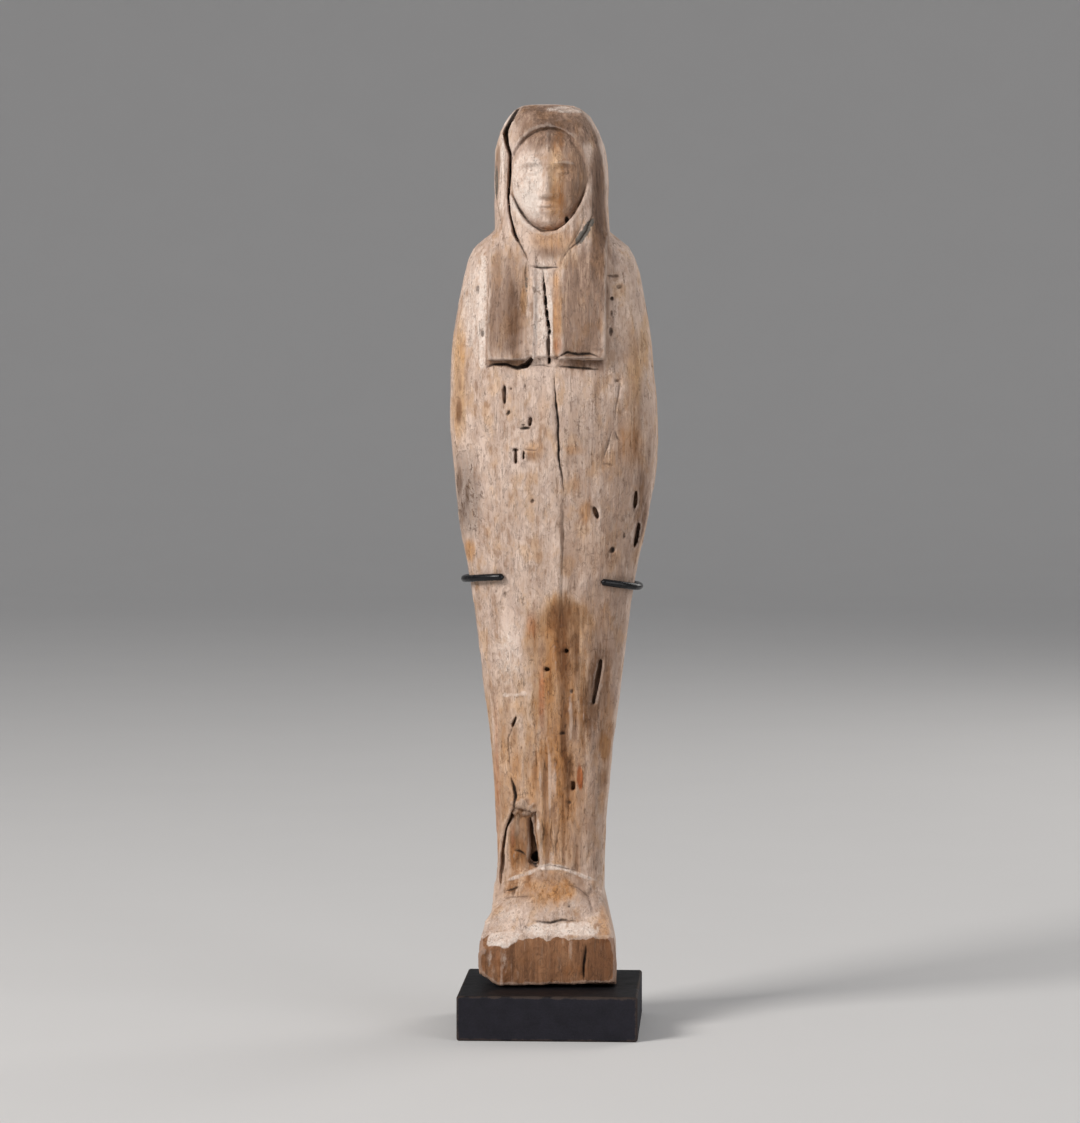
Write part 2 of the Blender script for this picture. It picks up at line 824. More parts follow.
@dataclass(frozen=True)
class WeatheredWood:
    """Old carved wood with the worn remains of its pale ground, stained and dirty."""

    skin_tones: Tones = ((0.40, 0.265, 0.19), (0.57, 0.42, 0.335), (0.68, 0.525, 0.435))
    wood_tones: Tones = ((0.12, 0.07, 0.046), (0.27, 0.17, 0.12), (0.45, 0.31, 0.23))
    raw_tones: Tones = ((0.16, 0.070, 0.031), (0.27, 0.125, 0.058), (0.37, 0.185, 0.092))
    chalk: Colour = (0.83, 0.725, 0.65)
    ochre: Colour = (0.84, 0.60, 0.34)
    honey: Colour = (0.96, 0.80, 0.56)
    umber: Colour = (0.42, 0.34, 0.28)
    cool: Colour = (0.86, 0.85, 0.87)
    smudge: Colour = (0.30, 0.195, 0.135)
    rust: Colour = (0.82, 0.42, 0.22)
    ash: Colour = (0.215, 0.175, 0.155)
    fleck: Colour = (0.13, 0.07, 0.04)
    verdigris: Colour = (0.085, 0.090, 0.082)
    dirt: Colour = (0.045, 0.023, 0.013)
    shade: Colour = (0.010, 0.006, 0.004)
    relief_depth: float = 0.27
    specular: float = 0.3

    def make(self, turn: float, shift: Sequence[float]) -> bpy.types.Material:
        """Builds the material.

        Args:
            turn: Turns object coordinates into the figure's frame, in radians.
            shift: Then shifts them, in millimetres.

        Returns:
            The material.
        """
        board = Board("weathered_wood")
        wood = WoodPatterns(board, board.place(turn, shift))
        coats = Coats(board, self._first_coat(wood))
        self._wear(wood, coats)
        self._stain(wood, coats)
        self._whiten(wood, coats)
        self._dirty(wood, coats)
        self._darken_hollows(wood, coats)
        return board.finish(
            {
                "Base Color": coats.colour,
                "Roughness": (0.78 + wood.blotch * 0.3 + wood.hollow * 0.1).held(),
                "Normal": board.bump(wood.relief(), self.relief_depth),
                "Specular IOR Level": self.specular,
            }
        )

    def _first_coat(self, wood: WoodPatterns) -> bpy.types.NodeSocket:
        """The dry skin, the wood where it is bare, and the raw wood of the breaks."""
        skin_level = wood.streak * (wood.along * 1.4 + 0.9) + wood.blotch * 1.7 + 0.085
        skin = self._tone(skin_level, self.skin_tones, 0.16)
        timber = self._tone(wood.streak * 2.1 + wood.blotch * 0.7, self.wood_tones, 0.18)
        raw = self._tone(wood.streak * 0.9 + wood.blotch * 1.2, self.raw_tones, 0.2)
        return wood.board.mix(wood.raw, wood.board.mix(wood.bare, skin, timber), raw)

    def _wear(self, wood: WoodPatterns, coats: Coats) -> None:
        """Lost layers with dark rims, smudges along the grain, and warmer and cooler areas."""
        worn = (1.0 - wood.layer) * (1.0 - wood.raw)
        coats.lay(worn * 0.22, self.skin_tones[0])
        coats.lay(wood.smear.ramp(0.54, 0.72) * (wood.along * 0.2 + 0.36), self.smudge)
        rim = (wood.flake - 0.495).size().ramp(0.03, 0.0)
        coats.lay(rim * wood.smear.ramp(0.42, 0.6) * (wood.along * 0.2 + 0.22), self.fleck)
        coats.lay(wood.warmth.ramp(0.5, 0.66) * 0.5, self.honey, "MULTIPLY")
        coats.lay(wood.warmth.ramp(0.48, 0.34) * 0.6, self.cool, "MULTIPLY")

    def _stain(self, wood: WoodPatterns, coats: Coats) -> None:
        """The stained patches, one kind after another, with edges that follow the grain."""
        for tint, glaze, blend, reach in (
            (Tint.ASH, self.ash, "MIX", 0.62),
            (Tint.HONEY, self.honey, "MULTIPLY", 1.0),
            (Tint.OCHRE, self.ochre, "MULTIPLY", 1.0),
            (Tint.RUST, self.rust, "MULTIPLY", 1.0),
            (Tint.UMBER, self.umber, "MULTIPLY", 1.0),
        ):
            share = wood.board.share(tint.value)
            share = (share + (wood.streak * 2.2 + wood.blotch * 1.6) * share).ramp(0.05, 0.95) * reach
            coats.lay(share, glaze, blend)

    def _whiten(self, wood: WoodPatterns, coats: Coats) -> None:
        """The pale ground where it survives, its fine crazing and the green-grey spots."""
        board = wood.board
        share = board.share(Tint.CHALK.value)
        share = (share + (wood.blotch * 1.6 + wood.streak * 0.8) * share.ramp(0.0, 0.4)).ramp(0.3, 0.8)
        dull = (wood.cloud * 0.5 + wood.crumb * 0.5).ramp(0.4, 0.62)
        ground = Coats(board, board.mix(dull, self.chalk, self.skin_tones[2]))
        ground.lay(wood.smear.ramp(0.56, 0.74) * 0.34, self.skin_tones[1])
        coats.lay(share * 0.9, ground.colour)
        coats.lay(wood.craze * wood.cloud.ramp(0.46, 0.6) * 0.26, self.fleck)
        green = (board.share(Tint.VERDIGRIS.value) + (wood.crumb - 0.5) * 1.2).ramp(0.35, 0.75)
        coats.lay(green * 0.85, self.verdigris)

    def _dirty(self, wood: WoodPatterns, coats: Coats) -> None:
        """Specks, grime along the grain, dark furrows beside pale ridges, and hairlines."""
        board, mottle = wood.board, wood.mottle
        ash = board.share(Tint.ASH.value)
        specks = (wood.crumb * 0.6 + mottle * 0.4 + (mottle - 0.5) * 0.5 + ash * 0.07).ramp(0.6, 0.7)
        coats.lay(specks * (ash * 0.5 + 0.38), self.fleck)
        grime = (wood.grain * 0.5 + mottle * 0.5 + (wood.fibre - 0.5) * 0.3).ramp(0.55, 0.67)
        coats.lay(grime * (wood.along * 0.2 + 0.26), self.fleck)
        ridge = board.share("ridge")
        coats.lay(ridge.ramp(0.44, 0.2) * 0.6, self.umber, "MULTIPLY")
        coats.lay((ridge + (mottle - 0.5) * 0.5).ramp(0.6, 0.85) * 0.55, self.skin_tones[2])
        coats.lay(wood.hairs * (wood.along * 0.4 + 0.22), self.dirt)

    def _darken_hollows(self, wood: WoodPatterns, coats: Coats) -> None:
        """Rubbed edges, dirt in the hollows, and the darkness deep in cracks and holes."""
        board = wood.board
        edges = (board.share("edge") + (wood.crumb - 0.5) * 0.8).ramp(0.3, 0.9)
        coats.lay(edges * 0.16, self.chalk)
        coats.lay(wood.hollow * 0.74, self.dirt)
        crack = board.share("crack")
        crack = crack + (wood.crumb - 0.5) * 0.6 * crack
        coats.lay(crack.ramp(0.12, 0.6) * 0.7, self.dirt)
        coats.lay(crack.ramp(0.5, 0.92) * 0.92, self.shade)

    @staticmethod
    def _tone(level: Signal, tones: Tones, reach: float) -> bpy.types.NodeSocket:
        """A colour that runs through three tones as the level rises from -reach to reach."""
        lower = level.board.mix(level.ramp(-reach, 0.0), tones[0], tones[1])
        return level.board.mix(level.ramp(0.0, reach), lower, tones[2])


@dataclass(frozen=True)
class BlackPaint:
    """Matt black paint on wood, greyed on its sides and worn to brown along its edges."""

    paint: Colour = (0.0045, 0.0045, 0.006)
    dust: Colour = (0.020, 0.0188, 0.0255)
    worn: Colour = (0.11, 0.075, 0.055)
    relief_depth: float = 0.08
    specular: float = 0.15

    def make(self) -> bpy.types.Material:
        """Builds the material."""
        board = Board("black_block_paint")
        place = board.place()
        mottle = board.noise(place, (3.0, 3.0, 3.0), 4.0, 0.6)
        brush = board.noise(place, (9.0, 0.5, 0.5), 3.0, 0.6, shift=2.0)
        crumb = board.noise(place, (0.35, 0.35, 0.35), 2.0, shift=4.0)
        patchy = (mottle * 0.7 + crumb * 0.4).ramp(0.3, 0.8) * 0.55 + 0.45
        dust = patchy * (board.share("dust") * 0.95 + 0.05)
        colour = board.mix(dust, self.paint, self.dust)
        worn = (board.share("edge") + (mottle - 0.5) * 1.3 + (crumb - 0.5) * 0.5).ramp(0.7, 1.05)
        colour = board.mix(worn * 0.34, colour, self.worn)
        rough = 0.55 + (mottle - 0.5) * 0.25 + dust * 0.25 + worn * 0.15
        return board.finish(
            {
                "Base Color": colour,
                "Roughness": rough.held(),
                "Normal": board.bump(brush * 0.5 + crumb * 0.35, self.relief_depth),
                "Specular IOR Level": self.specular,
            }
        )


@dataclass(frozen=True)
class BlackRod:
    """Thin satin black paint on a metal rod, with small rubbed places."""

    paint: Colour = (0.014, 0.014, 0.016)
    metal: Colour = (0.24, 0.23, 0.22)
    relief_depth: float = 0.03

    def make(self) -> bpy.types.Material:
        """Builds the material."""
        board = Board("black_rod_paint")
        place = board.place()
        drawn = board.noise(place, (0.25, 0.25, 9.0), 3.0, 0.6)
        chips = board.noise(place, (0.8, 0.8, 2.2), 4.0, 0.65, shift=6.0)
        rubbed = chips.ramp(0.68, 0.74)
        colour = board.mix(rubbed * 0.8, self.paint, self.metal)
        rough = 0.36 + (drawn - 0.5) * 0.3 + rubbed * 0.1
        return board.finish(
            {
                "Base Color": colour,
                "Metallic": (rubbed * 0.9).held(),
                "Roughness": rough.held(),
                "Normal": board.bump(drawn + chips * 0.4, self.relief_depth),
            }
        )


@dataclass(frozen=True)
class GlossSleeve:
    """The shiny black sleeve over the clip's wire."""

    black: Colour = (0.006, 0.006, 0.007)
    scuff: Colour = (0.05, 0.05, 0.052)
    relief_depth: float = 0.14
    specular: float = 0.26

    def make(self) -> bpy.types.Material:
        """Builds the material."""
        board = Board("black_sleeve_gloss")
        place = board.place()
        waves = board.noise(place, (1.6, 1.6, 1.6), 2.0, 0.4)
        scuffs = board.noise(place, (0.5, 0.5, 0.3), 3.0, 0.6, shift=2.0)
        scuffed = scuffs.ramp(0.6, 0.75)
        colour = board.mix(scuffed * 0.6, self.black, self.scuff)
        rough = 0.26 + (waves - 0.5) * 0.16 + scuffed * 0.25
        return board.finish(
            {
                "Base Color": colour,
                "Roughness": rough.held(),
                "Normal": board.bump(waves + scuffs * 0.15, self.relief_depth),
                "Specular IOR Level": self.specular,
            }
        )


@dataclass(frozen=True)
class StudioPaper:
    """The plain pale paper that the part stands on."""

    tone: Colour = (0.62, 0.61, 0.60)
    darkening: float = 0.97
    roughness: float = 0.9

    def make(self) -> bpy.types.Material:
        """Builds the material."""
        board = Board("studio_paper")
        fleck = board.noise(board.place(), (60.0, 60.0, 60.0), 2.0)
        darker = tuple(self.darkening * part for part in self.tone)
        colour = board.mix(fleck, darker, self.tone)
        return board.finish({"Base Color": colour, "Roughness": self.roughness})


# ---------------------------------------------------------------------------
# The carved figure
# ---------------------------------------------------------------------------


@dataclass
class CarvedFigure:
    """The ushabti itself: its carving, its damage and its weathered skin."""

    rest_gap: float = 0.3
    voxel: float = 0.3
    quick_voxel: float = 0.55
    crease: float = math.radians(17.0)
    crease_reach: int = 4
    crease_gain: float = 2.2
    softening: int = 70
    softening_pull: float = 0.9
    last_pull: float = 0.35
    relief_smoothing: int = 6
    mark_smoothing: int = 8
    hollow_reach: int = 26
    marked_reach: int = 10
    most_triangles: int = 192_000
    thinning_steps: int = 5
    least_thinning: float = 0.2
    front_keeping: float = 0.5
    crown_ease: float = 196.4
    black_depth: float = 0.62
    chin: float = 168.2
    face_height: float = 22.8
    face_width: float = 17.33
    face_front: float = -3.0
    shins: Span = Span(24.0, 27.0, 58.0, 86.0)
    shins_middle: float = 2.5
    shins_reach: float = 7.5
    check_route: Points = ((76.0, 2.5), (86.0, 2.8), (104.0, 3.3), (111.0, 3.8), (137.0, 1.6))
    check_length: Span = Span(74.0, 88.0, 106.0, 116.0)
    check_step: Span = Span(-0.25, 0.25, 0.8, 6.5)
    check_depth: float = 0.42
    left_lappet: Span = Span(-13.8, -13.0, -4.2, -3.4)
    right_lappet: Span = Span(1.6, 2.4, 12.2, 13.0)
    lappet_length: Span = Span(139.5, 141.5, 160.0, 163.0)
    lappet_end: Span = Span(137.2, 138.2, 142.0, 144.0)
    over_feet: Span = Span(14.5, 17.0, 23.0, 26.0)
    broken_shin: Span = Span(24.5, 26.5, 38.5, 40.0)
    knife_waves: Texture = Texture(11, (5.5, 5.5, 12.0), 0.13)
    knife_facets: Texture = Texture(29, (3.0, 3.0, 6.0), 0.06)
    wide_ridges: Texture = Texture(41, (1.0, 1.4, 26.0))
    narrow_ridges: Texture = Texture(43, (0.6, 0.8, 14.0), 0.7)
    flaking: Texture = Texture(53, (3.2, 3.2, 6.0), layers=3)
    crumbs: Texture = Texture(59, (1.1, 1.1, 1.6), 0.035, 2)
    check_wander: Texture = Texture(11, (3.0, 3.0, 5.0), 0.25, 2)
    lappet_grooves: Texture = Texture(61, (0.9, 2.0, 16.0), 0.16)
    splinters: Texture = Texture(67, (7.0, 3.0, 0.75), 0.5)
    rough_break: Texture = Texture(71, (1.5, 1.5, 1.0), 0.3, 3)
    lost_layers: Texture = Texture(73, (1.2, 2.0, 7.0), layers=3)
    ragged_edges: Texture = Texture(83, (1.6, 1.6, 7.0), layers=4)
    grit: Grit = Grit(11)
    piece: bpy.types.Object = field(init=False)

    @property
    def sole_height(self) -> float:
        """Where the soles stand, in millimetres above the table."""
        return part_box("base_block")[1].z / MM + self.rest_gap

    @property
    def to_row(self) -> Matrix:
        """From the figure's frame in millimetres to metres in the part's frame."""
        lift = Matrix.Translation((0.0, FIGURE_BACK, self.sole_height))
        return Matrix.Scale(MM, 4) @ lift @ Matrix.Rotation(FIGURE_TURN, 4, "Z")

    # -- building ----------------------------------------------------------

    def build(self) -> bpy.types.Object:
        """Makes the figure from the CAD solid and carves its finer relief.

        Returns:
            The finished piece.
        """
        self.piece = merged_copy("ushabti", "carved_figure")
        even_out(self.piece, self.voxel)
        self.soften_facets()
        self.carve()
        self.thin()
        self.ease_crown()
        hold_inside(self.piece.data, CAD_BOX)
        self.mark()
        return self.piece

    def skin(self) -> Skin:
        """The piece's surface in the figure's frame."""
        mesh = self.piece.data
        back = np.array(self.to_row.inverted())
        points = read_points(mesh) @ back[:3, :3].T + back[:3, 3]
        normals = read_normals(mesh) @ (back[:3, :3].T * MM)
        return Skin(points, normals)

    def place_points(self, points: Array) -> None:
        """Moves the piece's vertices to points of the figure's frame."""
        there = np.array(self.to_row)
        write_points(self.piece.data, points @ there[:3, :3].T + there[:3, 3])

    def soften_facets(self) -> None:
        """Rounds off the solid's flat facets, but hardly its face, its carved edges and its cracks."""
        mesh = self.piece.data
        near = Neighbours(mesh)
        skin = self.skin()
        normals = skin.normals
        first, second = near.ends[:, 0], near.ends[:, 1]
        bend = np.sum(normals[first] * normals[second], axis=1)
        sharpest = np.ones(len(normals))
        np.minimum.at(sharpest, first, bend)
        np.minimum.at(sharpest, second, bend)
        keep = ramp(np.arccos(np.clip(sharpest, -1.0, 1.0)), 0.6 * self.crease, self.crease)
        keep = np.maximum(keep, self.face_share(skin) * 0.9)
        keep = np.clip(near.spread(keep, self.crease_reach) * self.crease_gain, 0.0, 1.0)
        pull = self.softening_pull * (1.0 - keep)[:, None]
        points = skin.points
        for _ in range(self.softening // (1)):
            points = points + pull * (near.mean(points) - points)
        self.place_points(points + self.last_pull * (near.mean(points) - points))

    def ease_crown(self) -> None:
        """Lowers the relief on the crown, so that it stays under the solid's top."""
        points = self.skin().points.copy()
        points[:, 2] -= 0.5 * np.maximum(points[:, 2] - self.crown_ease, 0.0)
        self.place_points(points)

    def face_share(self, skin: Skin) -> Array:
        """1 on the oval of the face and 0 away from it."""
        u = skin.x / (0.5 * self.face_width)
        v = (skin.h - self.chin - 0.5 * self.face_height) / (0.5 * self.face_height)
        return ramp(np.hypot(u, v), 1.02, 0.95) * (skin.y < self.face_front)

    # -- relief ------------------------------------------------------------

    def carve(self) -> None:
        """Adds the finer relief by moving each point along the surface's normal."""
        skin = self.skin()
        smooth = Neighbours(self.piece.data).smooth_normals(skin.normals, self.relief_smoothing)
        broad = Skin(skin.points, smooth)
        rise = self.hand_of_the_carver(broad) + self.wood_relief(broad) + self.damage(broad)
        self.place_points(skin.points + smooth * rise[:, None] + self.face_detail(broad))

    def hand_of_the_carver(self, skin: Skin) -> Array:
        """The shallow facets that the knife left, and the wavy skin between them."""
        marks = self.knife_waves.rise(skin) + self.knife_facets.rise(skin)
        return marks * (1.0 - 0.7 * self.face_share(skin))

    def grain_share(self, skin: Skin) -> Array:
        """How strongly the grain of the wood stands out: most on the shins, least on the face."""
        middle = hump(skin.x - self.shins_middle, self.shins_reach)
        share = 0.18 + 0.85 * self.shins.share(skin.h) * middle * skin.facing(Side.FRONT)
        share += 0.3 * ramp(skin.h, 13.0, 10.0)
        return share * (1.0 - self.face_share(skin))

    def ridges(self, skin: Skin) -> Array:
        """The lengthwise ridges that the hard grain leaves, about from -1 to 1."""
        return self.wide_ridges.rise(skin) + self.narrow_ridges.rise(skin)

    def wood_relief(self, skin: Skin) -> Array:
        """Ridges of the grain, and the worn layers of the ground that covered them."""
        rise = 0.23 * self.grain_share(skin) * self.ridges(skin)
        rise += 0.12 * ramp(self.flaking.rise(skin), -0.06, 0.06) * (1.0 - self.face_share(skin))
        return rise + self.crumbs.rise(skin)

    def damage(self, skin: Skin) -> Array:
        """Cracks, chips, broken edges and lost layers."""
        rise = np.zeros(len(skin.points))
        for mark in (*GROOVES, *PITS):
            rise -= mark.depth * mark.share(skin, self.grit)
        return rise + self.step_in_the_middle(skin) + self.lappet_wear(skin) + self.foot_wear(skin)

    def step_in_the_middle(self, skin: Skin) -> Array:
        """The long check below the lappets, whose right side lies lower from the belly down."""
        line = np.interp(skin.h, *zip(*self.check_route)) + self.check_wander.rise(skin)
        sunk = self.check_step.share(skin.x - line) * self.check_length.share(skin.h)
        return -self.check_depth * sunk * skin.facing(Side.FRONT)

    def lappet_wear(self, skin: Skin) -> Array:
        """Lengthwise grooves on the wig's lappets and the splintered end of the right one."""
        left = self.left_lappet.share(skin.x)
        right = self.right_lappet.share(skin.x)
        grooved = (left + right) * self.lappet_length.share(skin.h) * self.lappet_grooves.rise(skin)
        splintered = right * self.lappet_end.share(skin.h) * (self.splinters.rise(skin) - 0.15)
        return skin.facing(Side.FRONT) * (grooved + splintered)

    def foot_wear(self, skin: Skin) -> Array:
        """The rough break over the feet, the raw toe face and the lost layers of the left shin."""
        layers = self.lost_layers.rise(skin)
        broken = self.rough_break.rise(skin) * self.over_feet.share(skin.h)
        shin = 0.45 * layers * self.broken_shin.share(skin.h) * ramp(skin.x, -2.6, -4.0)
        toe = 0.12 * layers * ramp(skin.h, 11.5, 10.0)
        return (broken + shin + toe) * skin.facing(Side.FRONT)

    def face_detail(self, skin: Skin) -> Array:
        """Lids, lips and nostrils, laid over the oval's plain features.

        Args:
            skin: The surface.

        Returns:
            How far each point moves, as rows.
        """
        third = self.face_height / 3.0
        eye_width = self.face_width / 5.0
        side = np.abs(skin.x)
        eye_h = self.chin + 0.57 * self.face_height
        mouth_h = self.chin + third * 2.0 / 3.0
        nose_h = self.chin + third
        u = (side - eye_width) / (0.52 * eye_width)
        opening = 0.62 * np.clip(1.0 - u * u, 0.0, 1.0)
        v = skin.h - eye_h - 0.12 * u
        lids = hump(np.abs(v) - opening, 0.17) * ramp(np.abs(u), 1.25, 1.0)
        ball = ramp(np.abs(v), opening + 0.05, 0.0) * ramp(np.abs(u), 1.0, 0.6)
        crease = hump(v - opening - 0.55, 0.16) * ramp(np.abs(u), 1.3, 0.9)
        brow = hump(skin.h - self.chin - 2.0 * third + 0.05 * (side - eye_width) ** 2, 0.4)
        brow *= ramp(side, 0.9, 1.6) * ramp(side, 6.6, 5.6)
        lip_line = hump(skin.h - mouth_h - 0.018 * skin.x**2, 0.17) * ramp(side, 2.9, 2.3)
        philtrum = hump(skin.x, 0.35) * hump(skin.h - mouth_h - 1.6, 0.5)
        nostril = hump(side - 0.75, 0.35) * hump(skin.h - nose_h + 0.35, 0.28)
        rise = 0.16 * ball - 0.2 * lids - 0.12 * crease + 0.22 * brow
        rise -= 0.22 * lip_line + 0.12 * philtrum + 0.35 * nostril
        move = np.zeros_like(skin.points)
        move[:, 1] = -rise * self.face_share(skin)
        return move

    def thin(self) -> None:
        """Takes out the triangles that the shape doesn't need, most of them where nothing is marked."""
        mesh = self.piece.data
        triangles = 2 * len(mesh.polygons)
        if triangles <= self.most_triangles:
            return
        group = self.piece.vertex_groups.new(name="less_seen")
        near = Neighbours(mesh)
        skin = self.skin()
        marks = np.maximum(self.crack_share(skin), self.hollow_share(near, skin))
        marked = near.spread(marks, self.marked_reach) > 0.01
        seen = np.where(marked, 1.0, skin.facing(Side.FRONT))
        last = self.thinning_steps - 1
        for step in range(self.thinning_steps):
            chosen = np.flatnonzero(np.round((1.0 - seen) * last) == step)
            thinning = self.least_thinning + (1.0 - self.least_thinning) * step / last
            group.add(chosen.tolist(), thinning, "REPLACE")
        modifier = self.piece.modifiers.new("thin", "DECIMATE")
        modifier.vertex_group = group.name
        modifier.vertex_group_factor = self.front_keeping
        modifier.ratio = self.most_triangles / triangles
        settle(self.piece)

    # -- marks that the finish reads ----------------------------------------

    def sunk(self, near: Neighbours, skin: Skin) -> Array:
        """How far each point lies below the surface round it, in millimetres."""
        normals = near.smooth_normals(skin.normals, self.mark_smoothing)
        around = near.spread(skin.points, self.hollow_reach)
        return np.sum((around - skin.points) * normals, axis=1)

    def hollow_share(self, near: Neighbours, skin: Skin) -> Array:
        """How deep in a hollow each point lies, from 0 to 1."""
        return ramp(self.sunk(near, skin), 0.14, 0.8)

    def mark(self) -> None:
        """Stores where each kind of weathering lies, and what is hollow or proud."""
        mesh = self.piece.data
        near = Neighbours(mesh)
        skin = self.skin()
        smooth = Skin(skin.points, near.smooth_normals(skin.normals, self.mark_smoothing))
        write_share(mesh, "hollow", self.hollow_share(near, skin) * skin.facing(Side.FRONT))
        write_share(mesh, "edge", ramp(self.sunk(near, skin), -0.08, -0.4))
        write_share(mesh, "grain", self.grain_share(skin))
        write_share(mesh, "ridge", 0.5 + 0.42 * self.ridges(skin) * self.grain_share(skin))
        write_share(mesh, "crack", self.crack_share(smooth))
        ragged = self.ragged_edges.rise(skin)
        for tint in Tint:
            clear = np.ones(len(skin.points))
            for patch in PATCHES:
                if patch.tint is tint:
                    clear *= 1.0 - patch.share(smooth, ragged)
            write_share(mesh, tint.value, 1.0 - clear)

    def crack_share(self, skin: Skin) -> Array:
        """How deep in a crack, a slot or a hole each point lies, from 0 to 1."""
        deepest = np.zeros(len(skin.points))
        for mark in (*GROOVES, *PITS):
            if mark.depth > 0.0:
                share = mark.share(skin, self.grit) * min(1.0, mark.depth / self.black_depth)
                deepest = np.maximum(deepest, share)
        return deepest

    def dress(self) -> None:
        """Gives the figure its finish."""
        shift = Matrix.Rotation(-FIGURE_TURN, 3, "Z") @ Vector((0.0, -FIGURE_BACK, -self.sole_height))
        self.piece.data.materials.clear()
        self.piece.data.materials.append(WeatheredWood().make(-FIGURE_TURN, shift))
        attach(self.piece, BODY)
        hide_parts("ushabti")


@dataclass(frozen=True)
class Scatter:
    """Random places over the sides of the trunk and legs, the same on every run.

    The stretch of each side that they cover grows wider with the height.
    """

    first_seed: int
    counts: Mapping[Side, int]
    lowest: float = 20.0
    tall: float = 140.0
    broad_side: float = 16.0
    narrow_side: float = 7.0
    soles_share: float = 0.55
    widening: float = 0.003

    def places(self) -> Iterable[tuple[Side, float, float, float, float]]:
        """Draws the places.

        Yields:
            The side, the place across, the height, and two more numbers from 0 to 1.
        """
        for side, count in self.counts.items():
            reach = self.broad_side if side in (Side.FRONT, Side.BACK) else self.narrow_side
            for across, up, one, two in np.random.default_rng(self.first_seed + count).random((count, 4)):
                height = self.lowest + self.tall * up
                share = self.soles_share + self.widening * height
                yield side, (2.0 * across - 1.0) * reach * share, height, one, two


HOLES = Scatter(100, {Side.FRONT: 46, Side.BACK: 40, Side.LEFT: 18, Side.RIGHT: 18})
CHECKS = Scatter(200, {Side.FRONT: 16, Side.BACK: 26, Side.LEFT: 10, Side.RIGHT: 10})


def small_hole(side: Side, across: float, height: float, one: float, two: float) -> Pit:
    """A pinhole or nick there, whose size the two numbers from 0 to 1 set."""
    size = (0.45 + 0.5 * one, 0.5 + 1.5 * two)
    return Pit((across, height), size, 0.12 + 0.2 * one * two, 0.3 * (one - 0.5), side)


def small_check(side: Side, across: float, height: float, one: float, two: float) -> Groove:
    """A short crack along the grain there, whose size the two numbers from 0 to 1 set."""
    route = ((across, height), (across + 0.8 * (two - 0.5), height + 3.0 + 12.0 * one))
    return Groove(route, 0.25 + 0.12 * two, 0.08 + 0.14 * one, side, 0.3)


def on(side: Side, *marks: Mark, **changes: float) -> tuple[Mark, ...]:
    """The same marks, moved to that side of the figure and with those other changes."""
    return tuple(replace(mark, side=side, **changes) for mark in marks)


